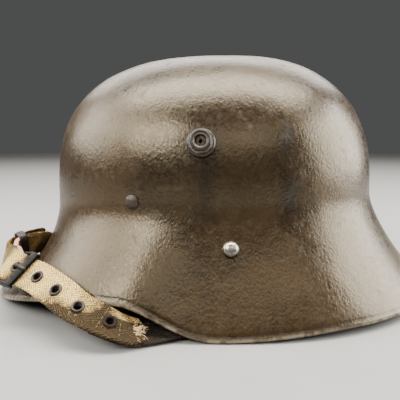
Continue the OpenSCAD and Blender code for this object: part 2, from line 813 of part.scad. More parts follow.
// Buckle: x runs ahead along the webbing, y across it and z out of it
cheek_in = strap_width / 2 + 1;
cheek_thickness = 1.5;
bar_half = cheek_in + cheek_thickness;
front_bar = [-9.4, 1.6];
front_bar_width = 5.2;
front_bar_thickness = 2;
hinge_bar = [8.5, -4.4];
hinge_bar_r = 1.2;
buckle_place = route_point(buckle_point);
buckle_ahead = unit(buckle_heading);
buckle_across = unit(buckle_width - (buckle_width * buckle_ahead) * buckle_ahead);
buckle_out = cross(buckle_across, buckle_ahead);
function buckle_world(p) = buckle_place + p.x * buckle_ahead + p.y * buckle_across + p.z * buckle_out;
function buckle_run(x) = [buckle_world([x, 0, 0]), buckle_across];
module at_buckle() {
    a = buckle_ahead;
    c = -buckle_across;
    o = buckle_out;
    p = buckle_place;
    multmatrix([
        [a.x, c.x, o.x, p.x],
        [a.y, c.y, o.y, p.y],
        [a.z, c.z, o.z, p.z],
        [0, 0, 0, 1]
    ]) children();
}

// Short strap: leather chape at the buckle's hinge bar, then webbing round the front to the far side
chape_thickness = 2.6;
chape_end = strap_steps * 3;
chape_start = [buckle_world([hinge_bar[0] + 1.6, 0, hinge_bar[1]]), buckle_across];
function other_side(s) = [[s[0].x, -s[0].y, s[0].z], [s[1].x, -s[1].y, s[1].z]];
inner_stations = concat(
    [chape_start],
    routed(turn_route),
    [for (s = front_route) front_station(s)],
    [for (k = [len(side_route) - 1 : -1 : 0]) other_side(routed(side_route)[k])],
    [other_side([strap_second, strap_start_width]), other_side([strap_start, strap_start_width])]
);
inner_frames = frames(inner_stations);
chape_frames = [for (k = [0 : chape_end]) inner_frames[k]];
function between_frames(a, b, share) = [for (m = [0 : 3]) a[m] * (1 - share) + b[m] * share];
short_share = 3 * soft_room / norm(inner_frames[chape_end + 1][0] - inner_frames[chape_end][0]);
short_frames = concat(
    [between_frames(inner_frames[chape_end], inner_frames[chape_end + 1], short_share)],
    [for (k = [chape_end + 1 : len(inner_frames) - 1]) inner_frames[k]]
);
// The tail lies outside the inner layer: place along that layer and distance from it
tail_gaps = [[1, 4.5], [3, 4.8], [5, 5], [8, 5.2], [10, 4.4], [12, 3.5], [14, 3.8], [17, 4.5], [20, 3.6]];
buckle_straight = 9;
long_stations = concat(
    [[strap_start, strap_start_width], [strap_second, strap_start_width]],
    routed(side_route),
    [buckle_run(-buckle_straight), buckle_run(0), buckle_run(buckle_straight)],
    [for (g = tail_gaps) [inner_frames[g[0]][0] + g[1] * inner_frames[g[0]][3], inner_frames[g[0]][2]]]
);
long_frames = frames(long_stations);
eyelet_count = 5;
// Frame nearest to a distance along a row of frames, measured back from the buckle
function run_back(f, i, left) =
    i == 0 || left <= 0 ? f[max(0, i)] :
    let (d = norm(f[i][0] - f[i - 1][0]))
    left < d
        ? between_frames(f[i], f[i - 1], left / d)
        : run_back(f, i - 1, left - d);
buckle_frame_index = strap_steps * (len(side_route) + 3);
eyelet_frames = [
    for (k = [0 : eyelet_count - 1]) run_back(long_frames, buckle_frame_index, k * eyelet_pitch)
];
module at_frame(q) {
    ahead = unit(q[1]);
    across = unit(q[2] - (q[2] * ahead) * ahead);
    out = cross(across, ahead);
    multmatrix([
        [ahead.x, -across.x, out.x, q[0].x],
        [ahead.y, -across.y, out.y, q[0].y],
        [ahead.z, -across.z, out.z, q[0].z],
        [0, 0, 0, 1]
    ]) children();
}

module strap_long() {
    color("#cdbf98") difference() {
        ribbon(long_frames, strap_width, strap_thickness);
        for (q = eyelet_frames)
            at_frame(q) cylinder(h = 8, r = eyelet_hole_r + eyelet_wall + drill_room, center = true);
    }
}

// Eyelets: a ring on each face of the webbing and a barrel through it
eyelet_wall = 0.4;
eyelet_lift = 0.4;
module eyelet() {
    half = strap_thickness / 2 + eyelet_lift;
    rotate_extrude() polygon([
        [eyelet_hole_r, -half - 0.5],
        [eyelet_flange_r, -half - 0.3],
        [eyelet_flange_r, -half],
        [eyelet_hole_r + eyelet_wall, -half],
        [eyelet_hole_r + eyelet_wall, half],
        [eyelet_flange_r, half],
        [eyelet_flange_r, half + 0.3],
        [eyelet_hole_r + 0.8, half + 0.8],
        [eyelet_hole_r, half + 0.5]
    ]);
}
module strap_eyelets() {
    color("#2e2b28") for (q = eyelet_frames) at_frame(q) eyelet();
}

// Buckle: a frame of strip steel whose front bar crosses over the webbing
module buckle_frame() {
    color("#1f1e1d") at_buckle() union() {
        translate([front_bar[0], -bar_half, front_bar[1]])
            cube([front_bar_width, 2 * bar_half, front_bar_thickness]);
        translate([hinge_bar[0], bar_half, hinge_bar[1]])
            rotate([90, 0, 0]) cylinder(h = 2 * bar_half, r = hinge_bar_r);
        for (y = [-cheek_in - cheek_thickness, cheek_in])
            translate([0, y + cheek_thickness, 0]) rotate([90, 0, 0])
                linear_extrude(cheek_thickness) polygon([
                    [front_bar[0], front_bar[1] + front_bar_thickness],
                    [front_bar[0], front_bar[1] - 1],
                    [front_bar[0] + 2, front_bar[1] - 3],
                    [hinge_bar[0] - 1, hinge_bar[1] - 2],
                    [hinge_bar[0] + 1.4, hinge_bar[1] - 1.6],
                    [hinge_bar[0] + 2, hinge_bar[1]],
                    [hinge_bar[0] + 1.4, hinge_bar[1] + 1.6],
                    [front_bar[0] + front_bar_width, front_bar[1] + front_bar_thickness]
                ]);
    }
}

// Prong: a bent wire with an eye on the hinge bar, up through the first eyelet
prong_r = 1;
prong_eye_r = hinge_bar_r + play;
prong_eye_width = 2.2;
prong_path = [[6.4, -4.1], [0.8, -3.2], [-2, 4.75], [-11, 4.95]];
module buckle_prong() {
    color("#6d6861") at_buckle() difference() {
        union() {
            translate([hinge_bar[0], prong_eye_width / 2, hinge_bar[1]])
                rotate([90, 0, 0]) cylinder(h = prong_eye_width, r = prong_eye_r + 1);
            for (k = [0 : len(prong_path) - 2]) {
                from = [prong_path[k].x, 0, prong_path[k].y];
                to = [prong_path[k + 1].x, 0, prong_path[k + 1].y];
                wire(from, to, prong_r);
                translate(to) sphere(r = prong_r + 0.05);
            }
        }
        translate([hinge_bar[0], prong_eye_width, hinge_bar[1]])
            rotate([90, 0, 0]) cylinder(h = 2 * prong_eye_width, r = prong_eye_r);
    }
}

module strap_short() {
    color("#b9a982") ribbon(short_frames, strap_width, strap_thickness);
}

// Chape: the leather end of the short strap, folded round the hinge bar
chape_eye_r = hinge_bar_r + 0.2;
chape_slot = prong_eye_width + 1.6;
module buckle_chape() {
    color("#b07a5a") difference() {
        union() {
            ribbon(chape_frames, strap_width, chape_thickness);
            at_buckle() translate([hinge_bar[0], strap_width / 2, hinge_bar[1]])
                rotate([90, 0, 0]) cylinder(h = strap_width, r = chape_eye_r + 1.6);
        }
        at_buckle() {
            translate([hinge_bar[0], strap_width, hinge_bar[1]])
                rotate([90, 0, 0]) cylinder(h = 2 * strap_width, r = chape_eye_r);
            translate([hinge_bar[0] - 6, -chape_slot / 2, hinge_bar[1] - 6])
                cube([9.5, chape_slot, 12]);
        }
    }
}

// Keeper: a leather ring round the tail and the chape
keeper_width = 6;
keeper_wall = 1.4;
keeper_room = 1.2;
keeper_frame = 13;
module strap_keeper() {
    q = inner_frames[keeper_frame];
    depth = tail_gaps[5][1] + (strap_thickness + chape_thickness) / 2 + 2 * keeper_room;
    shift = depth / 2 - keeper_room - chape_thickness / 2;
    color("#4a3038") at_frame([q[0] + q[3] * shift, q[1], q[2], q[3]]) difference() {
        cube([keeper_width, strap_width + 2 * keeper_wall + 1, depth + 2 * keeper_wall], center = true);
        cube([keeper_width + 2, strap_width + 1, depth], center = true);
    }
}

shell();
vent_lug_left();
vent_lug_right();
liner_rivet_left();
liner_rivet_right();
liner_rivet_rear();
liner_washers();
strap_rivet_left();
strap_rivet_right();
strap_bracket_left();
strap_bracket_right();
strap_bail_left();
strap_bail_right();
strap_loop_left();
strap_loop_right();
liner_band();
pad_front_left();
pad_front_right();
pad_rear();
cushion_front_left();
cushion_front_right();
cushion_rear();
pad_rivets();
crown_lace();
strap_long();
strap_short();
strap_eyelets();
buckle_frame();
buckle_prong();
buckle_chape();
strap_keeper();
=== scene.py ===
import math
import random

import bmesh
import bpy
import numpy as np
from mathutils import Matrix, Vector, noise


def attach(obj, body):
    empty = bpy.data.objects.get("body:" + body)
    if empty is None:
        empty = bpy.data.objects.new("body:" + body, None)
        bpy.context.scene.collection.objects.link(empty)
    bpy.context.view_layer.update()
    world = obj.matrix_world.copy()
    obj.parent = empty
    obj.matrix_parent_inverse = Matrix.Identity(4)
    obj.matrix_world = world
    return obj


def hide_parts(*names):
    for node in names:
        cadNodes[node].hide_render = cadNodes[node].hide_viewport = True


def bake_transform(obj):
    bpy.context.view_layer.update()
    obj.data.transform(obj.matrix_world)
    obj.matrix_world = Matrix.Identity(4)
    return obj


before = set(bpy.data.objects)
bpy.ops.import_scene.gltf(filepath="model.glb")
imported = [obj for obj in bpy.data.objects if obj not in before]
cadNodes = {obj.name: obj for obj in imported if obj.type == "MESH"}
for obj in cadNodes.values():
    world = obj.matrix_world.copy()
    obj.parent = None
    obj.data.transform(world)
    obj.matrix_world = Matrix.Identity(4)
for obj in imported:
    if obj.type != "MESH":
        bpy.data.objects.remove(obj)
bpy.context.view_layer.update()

mm = 0.001


# camera, lights and floor

cameraSettings = {
    "place": (-0.008825, -0.380, 0.12031),
    "tiltDown": 8.433,
    "lens": 43.69,
    "sensor": 36.0,
}

# place, aim, size x, size y, power, colour
lightSettings = {
    "topBox": ((0.02, -0.03, 1.00), (0.02, -0.03, 0.0), 1.55, 0.48, 38.0, (1.0, 0.96, 0.89)),
    "backBox": ((0.0, 0.95, 0.90), (0.0, 0.0, 0.12), 1.9, 0.55, 19.0, (1.0, 0.97, 0.91)),
    "rightBox": ((1.00, 0.0, 0.42), (0.0, 0.0, 0.12), 0.9, 0.72, 26.0, (1.0, 0.96, 0.89)),
    "leftBox": ((-0.95, 0.0, 0.60), (0.0, 0.0, 0.10), 0.9, 0.60, 15.0, (1.0, 0.96, 0.89)),
    "frontBox": ((-0.55, -0.68, 0.66), (-0.06, 0.0, 0.04), 0.50, 0.40, 10.0, (1.0, 0.96, 0.88)),
    "fillBox": ((0.24, -0.85, 0.64), (0.0, 0.0, 0.04), 0.80, 0.25, 2.0, (1.0, 0.96, 0.88)),
}


def placeCamera(settings):
    data = bpy.data.cameras.new("photoCamera")
    data.lens = settings["lens"]
    data.sensor_width = settings["sensor"]
    data.clip_start = 0.01
    camera = bpy.data.objects.new("photoCamera", data)
    camera.location = settings["place"]
    camera.rotation_euler = (math.radians(90 - settings["tiltDown"]), 0, 0)
    bpy.context.scene.collection.objects.link(camera)
    bpy.context.scene.camera = camera


def placeLights(settings):
    for name, (place, aim, sizeX, sizeY, power, colour) in settings.items():
        data = bpy.data.lights.new(name, "AREA")
        data.shape = "RECTANGLE"
        data.size = sizeX
        data.size_y = sizeY
        data.energy = power
        data.color = colour
        lamp = bpy.data.objects.new(name, data)
        lamp.location = place
        lamp.rotation_euler = (Vector(aim) - Vector(place)).to_track_quat("-Z", "Y").to_euler()
        bpy.context.scene.collection.objects.link(lamp)
    world = bpy.data.worlds.new("paleRoom")
    world.use_nodes = True
    background = world.node_tree.nodes["Background"]
    background.inputs["Color"].default_value = (0.80, 0.81, 0.82, 1)
    background.inputs["Strength"].default_value = 0.10
    bpy.context.scene.world = world


placeCamera(cameraSettings)
placeLights(lightSettings)
print("camera and lights placed")


# node helpers for the materials

def newMaterial(name):
    material = bpy.data.materials.new(name)
    material.use_nodes = True
    tree = material.node_tree
    tree.nodes.clear()
    output = tree.nodes.new("ShaderNodeOutputMaterial")
    shader = tree.nodes.new("ShaderNodeBsdfPrincipled")
    tree.links.new(shader.outputs["BSDF"], output.inputs["Surface"])
    return material, tree, shader


def feed(socket, value):
    if isinstance(value, bpy.types.NodeSocket):
        socket.id_data.links.new(value, socket)
    elif socket.type == "RGBA" and len(value) == 3:
        socket.default_value = (*value, 1)
    else:
        socket.default_value = value


# new node in the tree that the given sockets belong to
def addNode(kind, *values):
    tree = next(v.id_data for v in values if isinstance(v, bpy.types.NodeSocket))
    return tree.nodes.new("ShaderNode" + kind)


def calc(operation, a, b=0.5, c=0.5, clamp=False):
    node = addNode("Math", a, b, c)
    node.operation = operation
    node.use_clamp = clamp
    for socket, value in zip(node.inputs, (a, b, c)):
        feed(socket, value)
    return node.outputs[0]


def times(a, b, clamp=False):
    return calc("MULTIPLY", a, b, clamp=clamp)


def vectorCalc(operation, a, b):
    node = addNode("VectorMath", a, b)
    node.operation = operation
    feed(node.inputs[0], a)
    feed(node.inputs["Scale" if operation == "SCALE" else 1], b)
    return node.outputs["Value" if operation in ("DOT_PRODUCT", "DISTANCE") else "Vector"]


def mixed(factor, a, b):
    node = addNode("Mix", factor, a, b)
    node.data_type = "RGBA"
    colourInputs = [socket for socket in node.inputs if socket.type == "RGBA"]
    feed(node.inputs["Factor"], factor)
    feed(colourInputs[0], a)
    feed(colourInputs[1], b)
    return next(socket for socket in node.outputs if socket.type == "RGBA")


def spread(value, low, high, toLow=0.0, toHigh=1.0):
    node = addNode("MapRange", value)
    node.interpolation_type = "SMOOTHSTEP"
    feed(node.inputs["Value"], value)
    for name, number in (("From Min", low), ("From Max", high), ("To Min", toLow), ("To Max", toHigh)):
        feed(node.inputs[name], number)
    return node.outputs["Result"]


def noiseNode(coords, scale, detail, roughness=0.5, distortion=0.0):
    node = addNode("TexNoise", coords)
    feed(node.inputs["Vector"], coords)
    node.inputs["Scale"].default_value = scale
    node.inputs["Detail"].default_value = detail
    node.inputs["Roughness"].default_value = roughness
    node.inputs["Distortion"].default_value = distortion
    return node


def cloud(coords, scale, detail, roughness=0.55, distortion=0.0):
    return noiseNode(coords, scale, detail, roughness, distortion).outputs["Fac"]


def cells(coords, scale):
    node = addNode("TexVoronoi", coords)
    node.feature = "SMOOTH_F1"
    feed(node.inputs["Vector"], coords)
    node.inputs["Scale"].default_value = scale
    return node.outputs["Distance"]


def stretched(coords, scale, turn=(0, 0, 0)):
    node = addNode("Mapping", coords)
    feed(node.inputs["Vector"], coords)
    node.inputs["Scale"].default_value = scale
    node.inputs["Rotation"].default_value = [math.radians(a) for a in turn]
    return node.outputs[0]


# bump of a given depth in millimetres, on top of those the shader already has
def bumped(shader, height, strength, depth):
    node = addNode("Bump", height)
    node.inputs["Strength"].default_value = strength
    node.inputs["Distance"].default_value = depth * mm
    feed(node.inputs["Height"], height)
    old = shader.inputs["Normal"]
    if old.is_linked:
        feed(node.inputs["Normal"], old.links[0].from_socket)
    feed(old, node.outputs[0])


def placeOf(tree):
    return tree.nodes.new("ShaderNodeTexCoord").outputs["Object"]


# length along a strip and distance across it, in millimetres
def runOf(tree):
    uv = tree.nodes.new("ShaderNodeTexCoord").outputs["UV"]
    parts = addNode("SeparateXYZ", uv)
    feed(parts.inputs[0], uv)
    return parts.outputs[0], parts.outputs[1]


def marked(tree, name):
    node = tree.nodes.new("ShaderNodeAttribute")
    node.attribute_name = name
    return node.outputs["Fac"]


# 1 on a stroke from start to end (millimetres), fading to 0 over its width
def stroke(coords, start, end, width):
    start, end = Vector(start) * mm, Vector(end) * mm
    run = end - start
    rel = vectorCalc("SUBTRACT", coords, start)
    share = calc("MULTIPLY", vectorCalc("DOT_PRODUCT", rel, run), 1 / run.length_squared, clamp=True)
    away = vectorCalc("DISTANCE", rel, vectorCalc("SCALE", run, share))
    return spread(away, 0.0, width * mm, 1.0, 0.0)


# repeating ridges, pitch in millimetres
def waves(value, pitch):
    return calc("SINE", calc("MULTIPLY", value, 2 * math.pi / pitch))


# shapes of the pressed shell, in millimetres and degrees; turns run from the front over the left side

shellShape = {
    "crownHeight": 173.0, "wall": 1.2, "crownShift": 17.0,
    "domeFront": 119.0, "domeRear": 116.0, "domeHalfWidth": 97.0,
    "waistFront": 68.0, "waistRear": 76.0, "waistSide": 78.0,
    "rimFront": 171.5, "rimRear": 150.5, "rimHalfWidth": 123.0,
    "hemThickness": 3.0, "hemHeight": 4.5, "templeLift": 19.5, "napeLift": 4.4,
    "templeTurns": (7, 69, 88), "napeTurns": (84, 120), "domeAhead": 7.5,
    "waistRound": 2.1, "rimRoundFront": 2.24, "rimRoundRear": 2.12,
    # at the side, front and rear: roundness of the dome, slope at the rim, how long the brim stays steep
    "domeRound": (2.3, 2.8, 2.4), "rimSlope": (70, 30, 55), "brimPull": (0.5, 0.8, 0.08), "brimDrop": 0.335,
    "columns": 320, "dents": 0.35,
}
earX = (shellShape["rimFront"] - shellShape["rimRear"]) / 2
domeX = earX - shellShape["domeAhead"]


def sinD(angle):
    return np.sin(np.radians(angle))


def cosD(angle):
    return np.cos(np.radians(angle))


def signedPower(v, e):
    return np.sign(v) * np.abs(v) ** e


def ease(a, b, t):
    u = np.clip((t - a) / (b - a), 0, 1)
    return u * u * (3 - 2 * u)


def roundMix(turn, side, front, rear):
    return side * sinD(turn) ** 2 + np.where(cosD(turn) > 0, front, rear) * cosD(turn) ** 2


def oval(turn, middle, front, rear, half, roundFront, roundRear):
    ahead = cosD(turn) > 0
    e = 2 / np.where(ahead, roundFront, roundRear)
    x = middle - np.where(ahead, front, rear) * signedPower(cosD(turn), e)
    return np.stack([x, -half * signedPower(sinD(turn), e)], -1)


def edgeHeight(turn):
    t = np.mod(turn, 360)
    t = np.where(t <= 180, t, 360 - t)
    s = shellShape
    start, top, end = s["templeTurns"]
    temple = s["templeLift"] * (ease(start, top, t) - ease(top, end, t))
    return temple + s["napeLift"] * ease(*s["napeTurns"], t)


def waistHeight(turn):
    s = shellShape
    return roundMix(turn, s["waistSide"], s["waistFront"], s["waistRear"])


def waistPlan(turn):
    s = shellShape
    power = s["waistRound"]
    return oval(turn, domeX, s["domeFront"], s["domeRear"], s["domeHalfWidth"], power, power)


def edgePlan(turn):
    s = shellShape
    inset = s["hemThickness"] / 2 * (1 - sinD(roundMix(turn, *s["rimSlope"])))
    front, rear, half = s["rimFront"] - inset, s["rimRear"] - inset, s["rimHalfWidth"] - inset
    return oval(turn, earX, front, rear, half, s["rimRoundFront"], s["rimRoundRear"])


# outside of the shell; share is 0 at the crown, 1 at the waist and 2 at the rim
def outer(turn, share):
    turn, share = np.broadcast_arrays(np.asarray(turn, float), np.asarray(share, float))
    s = shellShape
    waist = waistPlan(turn)
    top = waistHeight(turn)
    # dome
    e = 2 / roundMix(turn, *s["domeRound"])
    a = np.clip(share, 0, 1) * 90
    out, up = sinD(a) ** e, np.maximum(cosD(a), 0) ** e
    middle = np.array([s["crownShift"], 0.0])
    domePlan = middle + (waist - middle) * out[..., None]
    domeZ = top + (s["crownHeight"] - top) * up
    # brim
    t = np.clip(share - 1, 0, 1)
    edge = edgePlan(turn)
    reach = np.linalg.norm(edge - waist, axis=-1)
    slope = roundMix(turn, *s["rimSlope"])
    low = edgeHeight(turn) + s["hemThickness"] / 2 * (1 + cosD(slope))
    pull = reach * roundMix(turn, *s["brimPull"])
    b0, b1, b2, b3 = (1 - t) ** 3, 3 * t * (1 - t) ** 2, 3 * t * t * (1 - t), t ** 3
    run = b2 * (reach - pull * cosD(slope)) + b3 * reach
    brimPlan = waist + (edge - waist) / reach[..., None] * run[..., None]
    steep = top - s["brimDrop"] * (top - low)
    brimZ = b0 * top + b1 * steep + b2 * (low + pull * sinD(slope)) + b3 * low
    dome = share < 1
    plan = np.where(dome[..., None], domePlan, brimPlan)
    return np.concatenate([plan, np.where(dome, domeZ, brimZ)[..., None]], -1)


def unit(v):
    return v / np.linalg.norm(v, axis=-1, keepdims=True)


def outward(turn, share):
    turn, share = np.broadcast_arrays(np.asarray(turn, float), np.asarray(share, float))
    share = np.maximum(share, 0.012)  # the crown itself has no direction
    down = outer(turn, share + 0.004) - outer(turn, share - 0.004)
    along = outer(turn + 0.5, share) - outer(turn - 0.5, share)
    return unit(np.cross(down, along))


# where the shell has that height, by halving
def shareAt(turn, height):
    turn, height = np.broadcast_arrays(np.asarray(turn, float), np.asarray(height, float))
    low, high = np.zeros(turn.shape), np.full(turn.shape, 1.95)
    for halving in range(18):
        middle = (low + high) / 2
        above = outer(turn, middle)[..., 2] > height
        low, high = np.where(above, middle, low), np.where(above, high, middle)
    return (low + high) / 2


# matrix with these directions and this place, turning millimetres into metres
def matrixOf(x, y, z, place):
    rows = [[x[i] * mm, y[i] * mm, z[i] * mm, place[i] * mm] for i in range(3)]
    return Matrix(rows + [[0, 0, 0, 1]])


# place of a fitting on the shell: z out of the wall, x down it
def shellFrame(turn, height):
    share = shareAt(turn, height)
    n = outward(turn, share)
    along = unit(np.array([-n[1], n[0], 0.0]))
    return matrixOf(np.cross(along, n), along, n, outer(turn, share))


# mesh helpers; points come in millimetres

def makePiece(name, points, faces, material, uvs=None, marks=None, smooth=True):
    mesh = bpy.data.meshes.new(name)
    mesh.from_pydata((np.asarray(points, float).reshape(-1, 3) * mm).tolist(), [], [tuple(f) for f in faces])
    if uvs is not None:
        layer = mesh.uv_layers.new(name="run")
        corner = np.zeros(len(mesh.loops), np.int32)
        mesh.loops.foreach_get("vertex_index", corner)
        layer.data.foreach_set("uv", np.asarray(uvs, np.float32)[corner].ravel())
    for key, values in (marks or {}).items():
        layer = mesh.attributes.new(key, "FLOAT", "POINT")
        layer.data.foreach_set("value", np.asarray(values, np.float32).ravel())
    mesh.polygons.foreach_set("use_smooth", [smooth] * len(mesh.polygons))
    mesh.materials.append(material)
    mesh.update()
    piece = bpy.data.objects.new(name, mesh)
    bpy.context.scene.collection.objects.link(piece)
    return piece


def gridFaces(rows, columns, wrap=False, first=0):
    faces = []
    for i in range(rows - 1):
        here, below = first + i * columns, first + (i + 1) * columns
        for j in range(columns if wrap else columns - 1):
            k = (j + 1) % columns
            faces.append((here + j, below + j, below + k, here + k))
    return faces


# front and back sheets of a thick piece, joined round their rim
def doubleFaces(rows, columns):
    size = rows * columns
    back = gridFaces(rows, columns, first=size)
    faces = gridFaces(rows, columns) + [tuple(reversed(f)) for f in back]
    rim = list(range(columns)) + [i * columns + columns - 1 for i in range(1, rows)]
    rim += [(rows - 1) * columns + j for j in range(columns - 2, -1, -1)]
    rim += [i * columns for i in range(rows - 2, 0, -1)]
    return faces + [(a, b, b + size, a + size) for a, b in zip(rim, rim[1:] + rim[:1])]


# cosine and sine at each side of a round section
def circle(sides):
    angles = [2 * math.pi * k / sides for k in range(sides)]
    return [(math.cos(a), math.sin(a)) for a in angles]


# tube through rings of points, closed into a ring or with flat ends
def tubeFaces(rings, sides, closed=False, first=0):
    faces = gridFaces(rings, sides, True, first)
    last = first + (rings - 1) * sides
    if closed:
        for j in range(sides):
            k = (j + 1) % sides
            faces.append((last + j, first + j, first + k, last + k))
    else:
        faces.append(tuple(range(first, first + sides)))
        faces.append(tuple(last + j for j in reversed(range(sides))))
    return faces


def faceOutward(piece):
    work = bmesh.new()
    work.from_mesh(piece.data)
    bmesh.ops.recalc_face_normals(work, faces=work.faces)
    work.to_mesh(piece.data)
    work.free()


def applyModifiers(piece):
    bpy.context.view_layer.update()
    shaped = bpy.data.meshes.new_from_object(piece.evaluated_get(bpy.context.evaluated_depsgraph_get()))
    piece.modifiers.clear()
    old = piece.data
    piece.data = shaped
    bpy.data.meshes.remove(old)


def cutWith(piece, cutters):
    for cutter in cutters:
        cut = piece.modifiers.new("cut", "BOOLEAN")
        cut.operation = "DIFFERENCE"
        cut.solver = "EXACT"
        cut.object = cutter
    applyModifiers(piece)
    for cutter in cutters:
        bpy.data.objects.remove(cutter)


# cutter that reaches this far to both sides of a place
def drillPiece(matrix, radius, reach, sides=48):
    ends = [Vector((radius * x, radius * y, z)) for z in (-reach, reach) for x, y in circle(sides)]
    points = [tuple(matrix @ end / mm) for end in ends]
    piece = makePiece("drill", points, tubeFaces(2, sides), paints["steel"], smooth=False)
    faceOutward(piece)
    return piece


# mirror copy for the right side
def flipped(piece, name):
    copy = piece.copy()
    copy.data = piece.data.copy()
    copy.name = copy.data.name = name
    copy.data.transform(Matrix.Scale(-1, 4, (0, 1, 0)))
    copy.data.flip_normals()
    bpy.context.scene.collection.objects.link(copy)
    return copy


def standFor(piece, slot, *replaced):
    if replaced:
        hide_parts(*replaced)


def settle(piece, body, slot, *replaced):
    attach(piece, body)
    standFor(piece, slot, *replaced)


# webbing by a bail, whose run starts at the bail: its place is baked and the CAD pieces it replaces are
# hidden
def settleBending(piece, bail, run, slot, *replaced):
    far = next(f for f in run if np.linalg.norm(f[0] - run[0][0]) > strapShape["bendReach"])
    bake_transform(piece)
    standFor(piece, slot, *replaced)


# marks the points on a rounded edge, where it bends by more than this many radians
def markWear(piece, least):
    work = bmesh.new()
    work.from_mesh(piece.data)
    values = []
    for vert in work.verts:
        bend = [e.calc_face_angle_signed(0.0) for e in vert.link_edges if len(e.link_faces) == 2]
        values.append(min(1.0, max(0.0, 7 * (max(bend) - least))) if bend else 0.0)
    work.free()
    layer = piece.data.attributes.get("wear") or piece.data.attributes.new("wear", "FLOAT", "POINT")
    layer.data.foreach_set("value", values)


# rounds the edges that turn by more than this many degrees
def roundEdges(piece, width, turn, segments):
    bevel = piece.modifiers.new("soften", "BEVEL")
    bevel.width = width * mm
    bevel.segments = segments
    bevel.limit_method = "ANGLE"
    bevel.angle_limit = math.radians(turn)
    applyModifiers(piece)
    piece.data.polygons.foreach_set("use_smooth", [True] * len(piece.data.polygons))


# copy of a CAD piece with softened edges
def softenedCopy(node, material, edge, name, turn=35):
    source = cadNodes[node]
    mesh = source.data.copy()
    piece = bpy.data.objects.new(name, mesh)
    bpy.context.scene.collection.objects.link(piece)
    work = bmesh.new()
    work.from_mesh(mesh)
    bmesh.ops.remove_doubles(work, verts=work.verts, dist=1e-6)
    bmesh.ops.dissolve_limit(work, angle_limit=math.radians(1), verts=work.verts, edges=work.edges)
    work.to_mesh(mesh)
    work.free()
    mesh.materials.clear()
    mesh.materials.append(material)
    roundEdges(piece, edge, turn, 3)
    markWear(piece, 0.30)
    return piece


# profile of (radius, height) corners, each one rounded; corners that stand out are worn
def roundedProfile(corners, radius):
    steps, points, wears = 3, [], []
    count = len(corners)
    for i in range(count):
        p = np.array(corners[i], float)
        a, b = np.array(corners[i - 1], float), np.array(corners[(i + 1) % count], float)
        first, second = a - p, b - p
        r = min(radius, 0.4 * np.linalg.norm(first), 0.4 * np.linalg.norm(second))
        first, second = unit(first), unit(second)
        convex = first[0] * second[1] - first[1] * second[0] > 0
        for k in range(steps + 1):
            t = k / steps
            q = (1 - t) ** 2 * (p + first * r) + 2 * t * (1 - t) * p + t * t * (p + second * r)
            points.append(q)
            wears.append(0.9 if convex else 0.0)
    return np.array(points), np.array(wears)


# turned part, a little uneven where waver is above 0
def turnedPiece(name, corners, matrix, material, rounding, sides, waver, seed=0.0):
    profile, wears = roundedProfile(corners, rounding)
    points = []
    for radius, height in profile:
        for x, y in circle(sides):
            r, z = radius, height
            r = max(0.0, r + waver * noise.noise(Vector((r * x, r * y, z + seed)) * 0.45))
            z += 0.5 * waver * noise.noise(Vector((r * x + 9, r * y, z + seed)) * 0.6)
            points.append(tuple(matrix @ Vector((r * x, r * y, z)) / mm))
    marks = {"wear": np.repeat(wears, sides)}
    piece = makePiece(name, points, tubeFaces(len(profile), sides, closed=True), material, marks=marks)
    faceOutward(piece)
    return piece


# finishes; colours are linear, bumps are (strength, depth in millimetres)

shellLook = {
    "shade": (0.0105, 0.0048, 0.0013), "ground": (0.026, 0.0135, 0.0045),
    "faded": (0.032, 0.0185, 0.0075), "grain": (0.046, 0.0275, 0.0115),
    # the stain colour also paints the broad shade on the side
    "pits": (0.012, 0.008, 0.005), "bluePatch": (0.0065, 0.0080, 0.0105), "stainAndShade": (0.0065, 0.0030, 0.0009),
    "scratch": (0.004, 0.003, 0.0025), "scuff": (0.10, 0.08, 0.055),
    # the bare edge is partly a painted highlight, the crease colour is painted shade
    "bareEdgeAndHighlight": (0.20, 0.165, 0.120), "creaseShade": (0.008, 0.0055, 0.004), "inside": (0.020, 0.015, 0.011),
    "roughness": (0.26, 0.32), "gloss": 0.72, "glossTint": (1.0, 0.87, 0.64), "raggedEdge": 7.0,
    "wrinkles": (0.24, 0.24), "pebbles": (0.23, 0.26), "ripples": (0.10, 0.6), "handWork": (0.25, 1.4),
}

